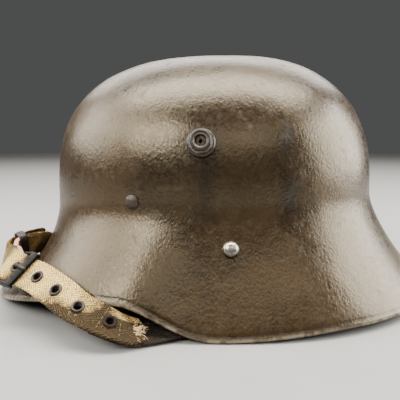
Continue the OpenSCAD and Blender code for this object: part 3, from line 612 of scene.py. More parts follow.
# worn places and painted shade as (start, end, width, amount) in millimetres, from the left side of the shell
paintMarks = {
    "bluePatches": [
        ((46, -91, 86), (45, -91, 74), 7.0, 1.0), ((44, -84, 120), (43, -88, 111), 7.5, 0.9),
        ((77, -70, 118), (74, -72, 112), 6.5, 0.6), ((-60, -62, 142), (-56, -62, 141), 5.0, 0.4),
    ],
    "darkRunsAndShade": [
        # first a broad painted shade across the middle of the near side, then runs and stains
        ((-34, -95, 86), (24, -95, 88), 40.0, 0.50),
        ((-6, -94, 106), (-6, -97, 80), 9.0, 1.0), ((-6, -94, 104), (-6, -97, 82), 7.0, 1.0),
        ((-6, -94, 104), (-6, -96, 95), 12.0, 0.8), ((-6, -97, 84), (-7, -98, 70), 6.5, 0.7),
        ((-16, -97, 67), (-1, -98, 67), 5.0, 1.0), ((-9, -106, 41), (-9, -108, 36), 5.0, 0.9),
        ((-41, -58, 152), (-37, -62, 151), 3.5, 0.6),
    ],
    "scratches": [
        ((-55, -100, 46), (-50, -100, 48), 1.1, 1.0), ((-35, -114, 27), (-21, -111, 29), 0.8, 0.8),
        ((-42, -95, 61), (-39, -94, 65), 1.1, 0.9), ((-60, -99, 52), (-57, -99, 55), 0.8, 0.7),
        ((12, -100, 36), (15, -101, 33), 0.7, 0.7), ((52, -98, 60), (57, -97, 61), 0.7, 0.6),
        ((-64, -76, 96), (-60, -78, 94), 0.7, 0.6), ((60, -90, 88), (62, -89, 84), 0.9, 0.7),
    ],
    "lightScuffs": [
        ((13, -86, 129), (21, -89, 121), 3.0, 0.40), ((-34, -93, 83), (-21, -95, 86), 3.2, 0.18),
        ((-33, -90, 107), (-27, -90, 112), 2.6, 0.35), ((-20, -105, 36), (-6, -107, 33), 1.3, 0.4),
        ((30, -104, 40), (44, -102, 44), 1.2, 0.3),
    ],
}


# patches, runs, painted shade, scratches and scuffs over the paint; also gives the mask of the runs and the
# painted shade
def addPaintMarks(colour, where, fine):
    look = shellLook
    tatter = noiseNode(where, 190, 4).outputs["Color"]
    drift = vectorCalc("SCALE", vectorCalc("SUBTRACT", tatter, (0.5, 0.5, 0.5)), look["raggedEdge"] * mm)
    ragged = vectorCalc("ADD", where, drift)
    stainedAndShaded = 0.0
    for start, end, width, amount in paintMarks["bluePatches"]:
        patch = times(stroke(ragged, start, end, width), spread(fine, 0.34, 0.52, 0.15, amount))
        colour = mixed(patch, colour, look["bluePatch"])
    # runs and stains, and the broad painted shade, in the stain colour
    for start, end, width, amount in paintMarks["darkRunsAndShade"]:
        patch = times(stroke(ragged, start, end, width), spread(fine, 0.32, 0.52, 0.75 * amount, amount))
        stainedAndShaded = calc("MAXIMUM", stainedAndShaded, patch)
        colour = mixed(patch, colour, look["stainAndShade"])
    for start, end, width, amount in paintMarks["scratches"]:
        colour = mixed(times(stroke(where, start, end, width), amount), colour, look["scratch"])
    for start, end, width, amount in paintMarks["lightScuffs"]:
        line = times(stroke(ragged, start, end, width), spread(fine, 0.42, 0.55, 0.0, amount))
        colour = mixed(line, colour, look["scuff"])
    return colour, stainedAndShaded


def shellPaint():
    look = shellLook
    material, tree, shader = newMaterial("brownFieldPaint")
    where = placeOf(tree)
    inside, rim, crease = [marked(tree, name) for name in ("inside", "rim", "crease")]
    broad = cloud(where, 20, 6, 0.62, 0.4)
    middle = cloud(where, 70, 4, 0.65, 0.3)
    fine = cloud(where, 260, 4, 0.65)
    colour = mixed(spread(broad, 0.36, 0.64), look["shade"], look["ground"])
    colour = mixed(spread(middle, 0.50, 0.72, 0.0, 0.5), colour, look["faded"])
    colour = mixed(spread(fine, 0.54, 0.72, 0.0, 0.45), colour, look["grain"])
    pits = spread(cloud(where, 120, 3, 0.7), 0.59, 0.68, 0.0, 0.8)
    colour = mixed(pits, colour, look["pits"])
    colour, stainedAndShaded = addPaintMarks(colour, where, fine)
    # paint rubbed thin on the folded edge, lighter there also as a painted highlight; painted shade in the
    # crease above it
    bare = times(rim, spread(cloud(where, 130, 5, 0.65), 0.38, 0.60, 0.15, 0.95))
    colour = mixed(bare, colour, look["bareEdgeAndHighlight"])
    colour = mixed(times(crease, 0.95), colour, look["creaseShade"])
    colour = mixed(times(inside, 0.8), colour, look["inside"])
    feed(shader.inputs["Base Color"], colour)
    rough = calc("ADD", spread(broad, 0.3, 0.7, *look["roughness"]), spread(fine, 0.3, 0.7, -0.03, 0.06))
    for part, gain in ((inside, 0.25), (pits, 0.15), (stainedAndShaded, 0.02)):
        rough = calc("ADD", rough, times(part, gain))
    feed(shader.inputs["Roughness"], rough)
    shader.inputs["IOR"].default_value = 1.5
    feed(shader.inputs["Specular IOR Level"], look["gloss"])
    feed(shader.inputs["Specular Tint"], look["glossTint"])
    # pebbled skin: low wrinkles and close grain
    wrinkles = cloud(stretched(where, (1.0, 1.0, 0.62), (0, 24, 0)), 620, 2.0, 0.55, 0.4)
    bumped(shader, spread(wrinkles, 0.34, 0.66), *look["wrinkles"])
    bumped(shader, cells(where, 660), *look["pebbles"])
    bumped(shader, cloud(where, 150, 3, 0.6), *look["ripples"])
    bumped(shader, cloud(where, 40, 2), *look["handWork"])
    return material


# painted or blacked metal, chipped to bare metal where an edge is worn
def metalPaint(name, low, high, bare, rough, specular=0.5, wearGain=1.0, pebble=0.4):
    material, tree, shader = newMaterial(name)
    where = placeOf(tree)
    broad = cloud(where, 90, 4, 0.6)
    fine = cloud(where, 500, 3, 0.6)
    colour = mixed(spread(broad, 0.35, 0.65), low, high)
    colour = mixed(spread(fine, 0.58, 0.72, 0.0, 0.5), colour, tuple(0.4 * c for c in low))
    chips = spread(cloud(where, 260, 4, 0.7), 0.36, 0.58, 0.2 * wearGain, wearGain)
    chipped = times(marked(tree, "wear"), chips, clamp=True)
    feed(shader.inputs["Base Color"], mixed(chipped, colour, bare))
    feed(shader.inputs["Metallic"], times(chipped, 0.8))
    dull = spread(fine, 0.3, 0.7, rough - 0.06, rough + 0.08)
    feed(shader.inputs["Roughness"], calc("SUBTRACT", dull, times(chipped, 0.12)))
    shader.inputs["Specular IOR Level"].default_value = specular
    bumped(shader, cloud(where, 420, 3, 0.6), pebble, 0.25)
    return material


# dull holds strokes of painted dark reflection that cover the shine
def bareSteel(name, tint, rough, grime, dull=()):
    material, tree, shader = newMaterial(name)
    where = placeOf(tree)
    broad = cloud(where, 160, 5, 0.65)
    fine = cloud(where, 700, 3, 0.6)
    colour = mixed(spread(broad, 0.42, 0.66, 0.0, grime), tint, (0.055, 0.040, 0.028))
    for start, end, width in dull:
        # painted dark reflection along each stroke
        colour = mixed(stroke(where, start, end, width), colour, (0.020, 0.017, 0.014))
    feed(shader.inputs["Base Color"], colour)
    shader.inputs["Metallic"].default_value = 0.9
    both = calc("ADD", times(broad, 0.5), times(fine, 0.5))
    feed(shader.inputs["Roughness"], spread(both, 0.3, 0.7, rough - 0.10, rough + 0.18))
    bumped(shader, fine, 0.35, 0.12)
    return material


def leather(name, low, high, rough, grain=1.0):
    material, tree, shader = newMaterial(name)
    where = placeOf(tree)
    broad = cloud(where, 45, 5, 0.6)
    fine = cloud(where, 420, 4, 0.6)
    colour = mixed(spread(broad, 0.32, 0.68), low, high)
    colour = mixed(spread(fine, 0.55, 0.75, 0.0, 0.5), colour, tuple(0.35 * c for c in low))
    rubbed = times(marked(tree, "wear"), spread(broad, 0.4, 0.6, 0.3, 0.9), clamp=True)
    colour = mixed(rubbed, colour, tuple(min(1, 1.5 * c) for c in high))
    feed(shader.inputs["Base Color"], colour)
    feed(shader.inputs["Roughness"], spread(broad, 0.3, 0.7, rough - 0.06, rough + 0.1))
    shader.inputs["Specular IOR Level"].default_value = 0.35
    bumped(shader, cells(where, 850), 0.5 * grain, 0.25)
    creases = cloud(stretched(where, (1, 1, 2.5)), 90, 4, 0.7, 1.5)
    bumped(shader, spread(creases, 0.47, 0.53), 0.25 * grain, 0.3)
    return material


# herringbone weave that follows the strap, in millimetres
weave = {"twill": 1.35, "column": 4.1, "lean": 0.55, "warp": 0.85, "weft": 0.95}


def webbing(name, light, dark, soil):
    material, tree, shader = newMaterial(name)
    along, aside = runOf(tree)
    where = placeOf(tree)
    # hand-drawn threads wander a little
    wander = times(calc("SUBTRACT", cloud(where, 170, 3, 0.6), 0.5), 3.8)
    shift = times(calc("SUBTRACT", cloud(where, 420, 2), 0.5), 1.2)
    u = calc("ADD", along, wander)
    v = calc("ADD", calc("ADD", aside, 50.0), shift)
    # the twill turns back in each column
    zigzag = calc("PINGPONG", v, weave["column"])
    ribs = waves(calc("ADD", times(u, weave["lean"]), zigzag), weave["twill"])
    threads = times(waves(v, weave["warp"]), waves(u, weave["weft"]))
    fuzz = cloud(where, 700, 4, 0.7)
    height = calc("MULTIPLY_ADD", ribs, 0.5, times(threads, 0.34))
    height = calc("ADD", height, times(calc("SUBTRACT", fuzz, 0.5), 2.1))
    level = spread(height, -0.70, 0.34)
    broad = cloud(where, 60, 6, 0.7, 0.6)
    fine = cloud(where, 330, 4, 0.7)
    # the weave's relief painted into the colour: painted shade down between the ribs, lighter on the raised
    # threads
    colour = mixed(level, dark, light)
    colour = mixed(spread(broad, 0.50, 0.74, 0.0, 0.6), colour, tuple(0.55 * c for c in dark))
    colour = mixed(spread(fine, 0.57, 0.70, 0.0, 0.5), colour, tuple(0.25 * c for c in dark))
    blotches = spread(cloud(where, 150, 5, 0.75), 0.28, 0.56, 0.60, 1.70)
    # the soil mark carries dirt and painted shade
    dirtyAndShaded = times(marked(tree, "soil"), blotches, clamp=True)
    # the raised threads keep more of their colour
    dirtyAndShaded = times(dirtyAndShaded, spread(level, 0.0, 1.0, 1.0, 0.955))
    feed(shader.inputs["Base Color"], mixed(dirtyAndShaded, colour, soil))
    shader.inputs["Roughness"].default_value = 0.85
    shader.inputs["Specular IOR Level"].default_value = 0.08
    shader.inputs["Sheen Weight"].default_value = 0.05
    shader.inputs["Sheen Roughness"].default_value = 0.5
    bumped(shader, level, 0.95, 0.60)
    bumped(shader, fine, 0.5, 0.5)
    return material


def plainCloth(name, light, dark):
    material, tree, shader = newMaterial(name)
    along, aside = runOf(tree)
    thread = 0.9  # millimetres
    level = spread(times(waves(along, thread), waves(aside, thread)), -0.8, 0.8)
    broad = cloud(placeOf(tree), 40, 5, 0.6)
    colour = mixed(level, dark, light)
    colour = mixed(spread(broad, 0.45, 0.7, 0.0, 0.7), colour, tuple(0.55 * c for c in dark))
    feed(shader.inputs["Base Color"], colour)
    shader.inputs["Roughness"].default_value = 0.9
    shader.inputs["Specular IOR Level"].default_value = 0.1
    shader.inputs["Sheen Weight"].default_value = 0.2
    bumped(shader, level, 0.6, 0.3)
    return material


def threadMaterial(name, light, dark):
    material, tree, shader = newMaterial(name)
    twist = cloud(placeOf(tree), 900, 3, 0.6, 1.0)
    feed(shader.inputs["Base Color"], mixed(spread(twist, 0.35, 0.65), dark, light))
    shader.inputs["Roughness"].default_value = 0.8
    shader.inputs["Sheen Weight"].default_value = 0.2
    bumped(shader, twist, 0.5, 0.2)
    return material


braidPitch = 1.3  # millimetres, along the lace and round it


def braid(name, light, dark):
    material, tree, shader = newMaterial(name)
    along, aside = runOf(tree)
    left = waves(calc("ADD", along, aside), braidPitch)
    right = waves(calc("SUBTRACT", along, aside), braidPitch)
    level = spread(calc("MAXIMUM", left, right), 0.0, 1.0)
    feed(shader.inputs["Base Color"], mixed(level, dark, light))
    shader.inputs["Roughness"].default_value = 0.8
    bumped(shader, level, 0.7, 0.3)
    return material


def paleFloor():
    material, tree, shader = newMaterial("paleFloor")
    grain = cloud(placeOf(tree), 30, 4)
    feed(shader.inputs["Base Color"], mixed(grain, (0.28, 0.28, 0.28), (0.32, 0.32, 0.317)))
    shader.inputs["Roughness"].default_value = 0.7
    return material


paints = {
    "shell": shellPaint(),
    "lug": metalPaint(
        "lugPaint", (0.010, 0.006, 0.003), (0.024, 0.0155, 0.009), (0.52, 0.47, 0.40),
        rough=0.30, specular=0.45, wearGain=0.34,
    ),
    "rivet": metalPaint(
        "rivetPaint", (0.018, 0.0115, 0.0065), (0.036, 0.025, 0.015), (0.42, 0.37, 0.30),
        rough=0.42, specular=0.40, wearGain=0.14, pebble=0.9,
    ),
    "dark": metalPaint(
        "darkSpringSteel", (0.022, 0.020, 0.018), (0.045, 0.040, 0.036), (0.30, 0.28, 0.25), rough=0.45,
    ),
    "black": metalPaint(
        "blackBucklePaint", (0.003, 0.003, 0.0034), (0.007, 0.0065, 0.0065), (0.42, 0.40, 0.38),
        rough=0.52, specular=0.08, wearGain=0.07, pebble=0.25,
    ),
    "eyelet": metalPaint(
        "blackedEyelet", (0.010, 0.0065, 0.0045), (0.026, 0.017, 0.011), (0.42, 0.36, 0.30),
        rough=0.36, specular=0.30, wearGain=0.16, pebble=0.3,
    ),
    "rust": metalPaint(
        "rustedEyelet", (0.008, 0.0035, 0.0028), (0.018, 0.0075, 0.005), (0.04, 0.018, 0.012),
        rough=0.75, specular=0.2, wearGain=0.5, pebble=1.0,
    ),
    "steel": bareSteel("handledSteel", (0.50, 0.46, 0.40), rough=0.20, grime=0.6),
    "brass": bareSteel("dullBrass", (0.45, 0.34, 0.18), rough=0.42, grime=0.7),
    "brownLeather": leather("brownLeather", (0.085, 0.040, 0.020), (0.160, 0.082, 0.042), rough=0.50),
    "tanLeather": leather("tanLeather", (0.40, 0.20, 0.125), (0.64, 0.40, 0.28), rough=0.60, grain=0.8),
    "darkLeather": leather(
        "darkLeather", (0.012, 0.006, 0.008), (0.035, 0.017, 0.020), rough=0.40, grain=0.8,
    ),
    # colour on the raised threads, painted shade down between them, then the colour of soil and painted shade
    "webbing": webbing("creamWebbing", (1.0, 0.72, 0.265), (0.25, 0.132, 0.036), (0.019, 0.0105, 0.0048)),
    # the layer that runs under the rim: dirty webbing, darkened further as painted shade
    "under": webbing("soiledAndShadedWebbing", (0.16, 0.11, 0.065), (0.055, 0.034, 0.018), (0.016, 0.010, 0.007)),
    "cushion": plainCloth("cushionTicking", (0.42, 0.36, 0.26), (0.24, 0.19, 0.13)),
    "thread": threadMaterial("paleThread", (0.62, 0.50, 0.32), (0.30, 0.21, 0.11)),
    "soiledThread": threadMaterial("soiledThread", (0.20, 0.14, 0.08), (0.07, 0.045, 0.025)),
    "fibre": threadMaterial("looseFibre", (0.80, 0.60, 0.31), (0.44, 0.29, 0.12)),
    "lace": braid("lacedCord", (0.24, 0.175, 0.10), (0.08, 0.055, 0.03)),
    "dust": threadMaterial("packedDust", (0.14, 0.10, 0.07), (0.02, 0.015, 0.012)),
}
print("materials made:", len(paints))


# floor

floorSettings = {"size": 4.0}


def makeFloor(settings):
    half = settings["size"] / 2 / mm
    points = [(-half, -half, 0), (half, -half, 0), (half, half, 0), (-half, half, 0)]
    floor = makePiece("paleFloor", points, [(0, 1, 2, 3)], paleFloor())


makeFloor(floorSettings)


# shell: one pressed sheet whose edge is folded inward

fittings = {
    "ventTurn": 84.75, "ventHeight": 111.5, "ventShank": 5.6,
    "linerTurn": 64.5, "linerHeight": 75.7, "rearHeight": 77.0, "linerShank": 2.0,
    "strapTurn": 91.75, "strapHeight": 49.7, "strapShank": 2.5,
    "room": 0.1, "drillReach": 6,
}


# direction down the wall at the rim
def downAtRim(turn):
    return unit(outer(turn, 2.0) - outer(turn, 1.99))


# point of the folded edge: angle goes round the fold, rise goes up behind it
def hemPoint(turn, angle, rise):
    n, down = outward(turn, 2.0), downAtRim(turn)
    r = shellShape["hemThickness"] / 2
    turned = n * math.cos(math.radians(angle)) + down * math.sin(math.radians(angle))
    return outer(turn, 2.0) - n * r + r * turned - down * rise


# soft bump of height 1 at a place along a run
def hump(value, middle, width):
    return math.exp(-((value - middle) / width) ** 2)


def makeShell(s):
    columns = s["columns"]
    turns = np.arange(columns) * 360 / columns
    rings = []
    marks = {"rim": [], "inside": [], "crease": []}

    def addRing(points, rim=0.0, inside=1.0, crease=0.0):
        rings.append(points)
        for name, amount in (("rim", rim), ("inside", inside), ("crease", crease)):
            marks[name].append(np.full(columns, float(amount)))

    # outside, hand-worked and uneven, with a crease above the fold
    for share in np.concatenate([np.linspace(0.02, 1, 46), np.linspace(1, 2, 46)[1:]]):
        p, n = outer(turns, share), outward(turns, share)
        atHem = share > 1.9
        low = ease(2.0, 1.9, share) if atHem else 1.0
        wave = np.array([noise.fractal(Vector(q) * 0.021, 1.0, 2.0, 3) for q in p])
        crease = hump(share, 1.955, 0.012)
        sink = 0.28 * crease - 0.30 * hump(share, 1.985, 0.012) if atHem else 0.0
        addRing(p + n * (s["dents"] * wave * low - sink)[:, None], ease(1.972, 1.998, share), 0.0, crease)
    for angle in (22, 45, 68, 90, 112, 135, 158, 180):
        addRing(hemPoint(turns, angle, 0), 1.0 if angle < 120 else 0.5, 0.0 if angle < 100 else 0.7)
    addRing(hemPoint(turns, 180, s["hemHeight"]))
    # inside
    wall = s["wall"]
    addRing(outer(turns, 2.0) - wall * outward(turns, 2.0) - downAtRim(turns) * s["hemHeight"])
    for share in np.concatenate([np.linspace(1.86, 1, 22), np.linspace(1, 0.02, 24)[1:]]):
        addRing(outer(turns, share) - wall * outward(turns, share))
    crown = [[s["crownShift"], 0, s["crownHeight"] - depth] for depth in (0, wall)]
    points = np.concatenate(rings + [crown])
    faces = gridFaces(len(rings), columns, True)
    top, last = len(rings) * columns, (len(rings) - 1) * columns
    faces += [(top, j, (j + 1) % columns) for j in range(columns)]
    faces += [(top + 1, last + (j + 1) % columns, last + j) for j in range(columns)]
    atCrown = {"rim": [0.0, 0.0], "inside": [0.0, 1.0], "crease": [0.0, 0.0]}
    marks = {name: np.concatenate(rows + [atCrown[name]]) for name, rows in marks.items()}
    shell = makePiece("pressedShell", points, faces, paints["shell"], marks=marks)
    faceOutward(shell)
    f = fittings
    cutters = []
    for kind in ("vent", "liner", "strap"):
        place = shellFrame(f[kind + "Turn"], f[kind + "Height"])
        drill = drillPiece(place, f[kind + "Shank"] + f["room"], f["drillReach"])
        cutters += [drill, flipped(drill, "drillOther")]
    cutters.append(drillPiece(shellFrame(180, f["rearHeight"]), f["linerShank"] + f["room"], f["drillReach"]))
    cutWith(shell, cutters)
    settle(shell, "helmet", "shell_paint", "shell")


makeShell(shellShape)
print("shell pressed")


# vent lugs: stepped hollow plugs, worn round the mouth

lugShape = {
    "neck": 6.3, "collar": 8.7, "hole": 3.3, "collarHeight": 3.2, "neckHeight": 5.8,
    "seat": 0.1, "legSpread": 0.8, "legInset": 0.7, "waver": 0.10, "dustDepth": 4.2,
}


def makeLugs(s):
    low, top = s["collarHeight"], s["collarHeight"] + s["neckHeight"]
    inside = -shellShape["wall"] - s["legSpread"]
    leg, shank = s["collar"] - s["legInset"], fittings["ventShank"]
    corners = [
        (s["hole"], inside - 1), (leg, inside - 1), (leg, inside), (shank, inside),
        (shank, s["seat"]), (s["collar"], s["seat"]), (s["collar"], low - 1), (s["collar"] - 1, low),
        (s["neck"], low), (s["neck"], top - 0.6), (s["neck"] - 0.6, top), (s["hole"] + 1.4, top),
        (s["hole"] + 1.0, top - 1.0), (s["hole"], top - 1.6),
    ]
    seat = shellFrame(fittings["ventTurn"], fittings["ventHeight"])
    lug = turnedPiece("ventLugLeft", corners, seat, paints["lug"], 0.32, 96, s["waver"])
    other = flipped(lug, "ventLugRight")
    settle(lug, "helmet", "lug_paint", "vent_lug_left")
    settle(other, "helmet", "lug_paint", "vent_lug_right")
    # dirt caught in the air hole
    points = []
    rows, sides = 7, 40
    for i in range(rows):
        for x, y in circle(sides):
            inwards = i / (rows - 1) * (0.62 + 0.3 * noise.noise(Vector((x * 1.7, y * 1.7, 3.1))))
            r = (s["hole"] - 0.02) * (1 - inwards)
            lift = 1.3 * noise.noise(Vector((r * x * 0.9, r * y * 0.9, 7.7)))
            points.append(tuple(seat @ Vector((r * x, r * y, top - s["dustDepth"] + lift)) / mm))
    dust = makePiece("lugDust", points, gridFaces(rows, sides, True), paints["dust"])
    thick = dust.modifiers.new("thick", "SOLIDIFY")
    thick.thickness = 0.8 * mm
    applyModifiers(dust)
    settle(dust, "helmet", "lug_paint")


makeLugs(lugShape)


# rivets: low dark heads for the liner, bright domes for the strap

rivetShape = {
    "strapHead": 5.0, "strapRise": 4.2, "strapSeat": 0.25, "rimHeight": 0.25, "bulge": 2.2,
    "innerHead": 4.0, "innerRise": 1.3, "innerFloor": -3.2, "linerEdge": 0.25,
}


def domeCorners(s, shank):
    low, floor, foot = s["innerFloor"] - s["innerRise"], s["innerFloor"], s["strapSeat"] + s["rimHeight"]
    corners = [(0.0, low), (s["innerHead"], low), (s["innerHead"], floor), (shank, floor)]
    corners += [(shank, s["strapSeat"]), (s["strapHead"] - 0.1, s["strapSeat"])]
    for degrees in np.linspace(0, 90, 9):
        a = math.radians(degrees)
        out, up = math.cos(a) ** (2 / s["bulge"]), math.sin(a) ** (2 / s["bulge"])
        corners.append((s["strapHead"] * out, foot + (s["strapRise"] - s["rimHeight"]) * up))
    return corners


def makeRivets(s):
    for side in ("Left", "Right", "Rear"):
        node = "liner_rivet_" + side.lower()
        dressed = softenedCopy(node, paints["rivet"], s["linerEdge"], "linerHead" + side)
        settle(dressed, "helmet", "rivet_paint", node)
    seat = shellFrame(fittings["strapTurn"], fittings["strapHeight"])
    x, y, z = seat.translation / mm
    # painted dark reflection on the lower half of the polished domes
    dull = []
    for side in (1, -1):
        level = side * (y - 3.0), z - 4.4
        dull.append(((x - 2.0, *level), (x + 2.0, *level), 8.0))
    polished = bareSteel("polishedDomeWithPaintedReflection", (0.44, 0.40, 0.34), 0.24, 0.5, dull)
    corners = domeCorners(s, fittings["strapShank"])
    head = turnedPiece("strapDomeLeft", corners, seat, polished, 0.2, 96, 0.06, 4.0)
    other = flipped(head, "strapDomeRight")
    settle(head, "helmet", "bare_steel", "strap_rivet_left")
    settle(other, "helmet", "bare_steel", "strap_rivet_right")


makeRivets(rivetShape)
print("lugs and rivets turned")


# chin strap: stations along the middle of the webbing, each with the direction of its width

strapShape = {
    "width": 20.6, "thickness": 1.8, "steps": 12, "waver": 0.30, "edge": 0.9,
    "eyeletPitch": 20.0, "eyeletHole": 2.3, "eyeletFlange": 4.0,
    "hingeDown": 11.0, "hingeIn": -4.45, "bailDrop": 14.0, "stub": 7.5,
    # ahead of the ear line and aside as shares of the rim's reach, then height
    "sideRoute": [
        ((0.012, 0.843, 8.3), (-0.65, 0.75, 0)), ((0.038, 0.858, 4.4), (-0.2, 0.97, 0)),
        ((0.172, 0.888, 3.3), (0, 1, 0.03)), ((0.25, 0.925, 3.2), (0, 1, 0.05)),
        ((0.32, 0.968, 5.8), (0.1, 0.97, 0.15)), ((0.395, 1.01, 12), (0.25, 0.9, 0.36)),
        ((0.51, 0.975, 20.6), (0.45, 0.75, 0.48)), ((0.602, 0.878, 26.6), (0.55, 0.58, 0.6)),
        ((0.685, 0.776, 30.2), (0.54, 0.58, 0.61)),
    ],
    "turnRoute": [
        ((0.872, 0.41, 28.6), (0.4, 0.2, 0.89)), ((0.889, 0.35, 30.4), (0.28, -0.05, 0.95)),
        ((0.882, 0.28, 32.6), (0.34, -0.1, 0.93)),
    ],
    # turn, height of the lower edge, gap to the shell
    "frontRoute": [
        (11.5, 23, 5), (5, 21.5, 3.2), (-1, 19, 2), (-7, 17.5, 1.7),
        (-14, 16.5, 1.7), (-23, 16, 1.7), (-32, 16.5, 2),
    ],
    # quarter station of the short strap, gap between it and the tail
    "tailGaps": [(1, 4.5), (3, 4.8), (5, 5), (8, 5.2), (10, 4.4), (12, 3.5), (14, 3.8), (17, 4.5), (20, 3.6)],
    "bucklePoint": (0.781, 0.686, 33.2), "buckleWidth": (0.517, 0.605, 0.605),
    "buckleHeading": (-0.8, 0.58, 0.14),
    "hingeBar": (8.5, -4.4), "buckleStraight": 9.0, "chapeStations": 3, "bendReach": 45.0,
    # distance of a seam from the strap's middle, aside and outwards
    "chapeSeam": (8.3, 1.28), "edgeSeam": (8.7, 0.92),
}


def routed(route):
    front, half = shellShape["rimFront"], shellShape["rimHalfWidth"]
    return [(np.array([earX - p[0] * front, -p[1] * half, p[2]]), np.array(w, float)) for p, w in route]


def frontStation(turn, height, gap):
    width = strapShape["width"]
    lowShare, highShare = shareAt(turn, height), shareAt(turn, height + 0.95 * width)
    low = outer(turn, lowShare) + gap * outward(turn, lowShare)
    high = outer(turn, highShare) + gap * outward(turn, highShare)
    across = unit(high - low)
    return low + across * width / 2, across


def otherSide(station):
    flip = np.array([1, -1, 1])
    return station[0] * flip, station[1] * flip


# smooth curve through the points, with this many steps between two of them
def smoothRun(points, steps):
    p = [np.asarray(q, float) for q in points]
    p = [2 * p[0] - p[1]] + p + [2 * p[-1] - p[-2]]
    run = []
    for i in range(1, len(p) - 2):
        a, b, c, d = p[i - 1:i + 3]
        bend, twist = 2 * a - 5 * b + 4 * c - d, 3 * b - a - 3 * c + d
        for k in range(steps):
            t = k / steps
            run.append(0.5 * (2 * b + (c - a) * t + bend * t * t + twist * t ** 3))
    return run + [p[-2]]


# frames along a strap: (middle, ahead, across, out)
def framesAlong(stations, steps):
    middles = smoothRun([s[0] for s in stations], steps)
    widths = smoothRun([s[1] for s in stations], steps)
    frames = []
    for i, middle in enumerate(middles):
        if i == 0:
            ahead = unit(stations[1][0] - stations[0][0])
        elif i == len(middles) - 1:
            ahead = unit(stations[-1][0] - stations[-2][0])
        else:
            ahead = unit(middles[i + 1] - middles[i - 1])
        across = unit(widths[i] - (widths[i] @ ahead) * ahead)
        frames.append((middle, ahead, across, np.cross(across, ahead)))
    return frames


def betweenFrames(a, b, share):
    return tuple(a[m] * (1 - share) + b[m] * share for m in range(4))


# frame at a distance back along the run, counted from one of its frames
def runBack(frames, index, distance):
    while index > 0:
        step = np.linalg.norm(frames[index][0] - frames[index - 1][0])
        if distance < step:
            return betweenFrames(frames[index], frames[index - 1], distance / step)
        distance -= step
        index -= 1
    return frames[0]


def frameMatrix(f):
    ahead = unit(f[1])
    across = unit(f[2] - (f[2] @ ahead) * ahead)
    return matrixOf(ahead, -across, np.cross(across, ahead), f[0])


def layStrap(s):
    rivet = shellFrame(fittings["strapTurn"], fittings["strapHeight"])
    hinge = np.array(rivet @ Vector((s["hingeDown"], 0, s["hingeIn"]))) / mm
    n = outward(fittings["strapTurn"], shareAt(fittings["strapTurn"], fittings["strapHeight"]))
    startWidth = unit(np.array([n[1], -n[0], 0.0]))
    start = (hinge - [0, 0, s["bailDrop"] + s["stub"] + 0.3], startWidth)
    second = (start[0] - [0, 0, 3.5], startWidth)
    place = routed([(s["bucklePoint"], s["buckleWidth"])])[0][0]
    ahead = unit(np.array(s["buckleHeading"]))
    across = np.array(s["buckleWidth"])
    across = unit(across - (across @ ahead) * ahead)
    out = np.cross(across, ahead)
    bar = s["hingeBar"]
    side = routed(s["sideRoute"])
    innerStations = [(place + (bar[0] + 1.6) * ahead + bar[1] * out, across)] + routed(s["turnRoute"])
    innerStations += [frontStation(*station) for station in s["frontRoute"]]
    innerStations += [otherSide(station) for station in [*reversed(side), second, start]]
    steps = s["steps"]
    inner = framesAlong(innerStations, steps)
    straight = s["buckleStraight"]
    longStations = [start, second] + side + [(place + x * ahead, across) for x in (-straight, 0, straight)]
    for g, gap in s["tailGaps"]:
        f = inner[int(g * steps / 4)]
        longStations.append((f[0] + gap * f[3], f[2]))
    long = framesAlong(longStations, steps)
    return {"inner": inner, "long": long, "buckleIndex": steps * (len(side) + 3), "rivet": rivet}


strapRun = layStrap(strapShape)


def clean(length, side):
    return 0.0


def flat(length):
    return 0.0


# thickness of the webbing at a distance from its edge: rounded off, with a thicker selvedge
def webbingDepth(thickness, inwards):
    near = max(0.0, strapShape["edge"] - inwards) / strapShape["edge"]
    selvedge = 0.10 if 0.6 < inwards < 2.0 else 0.0
    return thickness / 2 * math.sqrt(max(0.12, 1 - near * near)) + selvedge


# strip of webbing through frames; lift and soil (dirt and painted shade) are functions of the length, soil
# also of the side
def stripPiece(
    name, run, width, thickness, material, waver,
    lift=flat, soil=clean, columns=18, ragged=0.0, start=0.0,
):
    half = width / 2
    side = [half * math.sin(math.pi / 2 * (2 * k / (columns - 1) - 1)) for k in range(columns)]
    points, uvs, marks = [], [], []
    length = start
    for i, (middle, ahead, across, out) in enumerate(run):
        if i:
            length += np.linalg.norm(middle - run[i - 1][0])
        wave = waver * min(1.0, i / 3, (len(run) - 1 - i) / 3)
        raised = lift(length)
        for face in (1, -1):
            for a in (side if face > 0 else side[::-1]):
                p = middle + across * a
                ripple = wave * noise.noise(Vector(p * 0.085)) + 0.25 * wave * noise.noise(Vector(p * 0.35))
                rough = noise.noise(Vector((length * 0.5, 3.3 if a > 0 else 9.1, 0.7)))
                slip = ragged * noise.noise(Vector((a * 0.9, 5.0, 1.0))) if i == len(run) - 1 else 0.0
                thick = face * webbingDepth(thickness, half - abs(a))
                p = p + across * 0.22 * (a / half) * rough + out * (thick + ripple + raised)
                points.append(p + ahead * slip)
                uvs.append((length, a))
                marks.append(soil(length, a / half))
    sides = 2 * columns
    piece = makePiece(name, points, tubeFaces(len(run), sides), material, uvs, {"soil": marks})
    faceOutward(piece)
    return piece


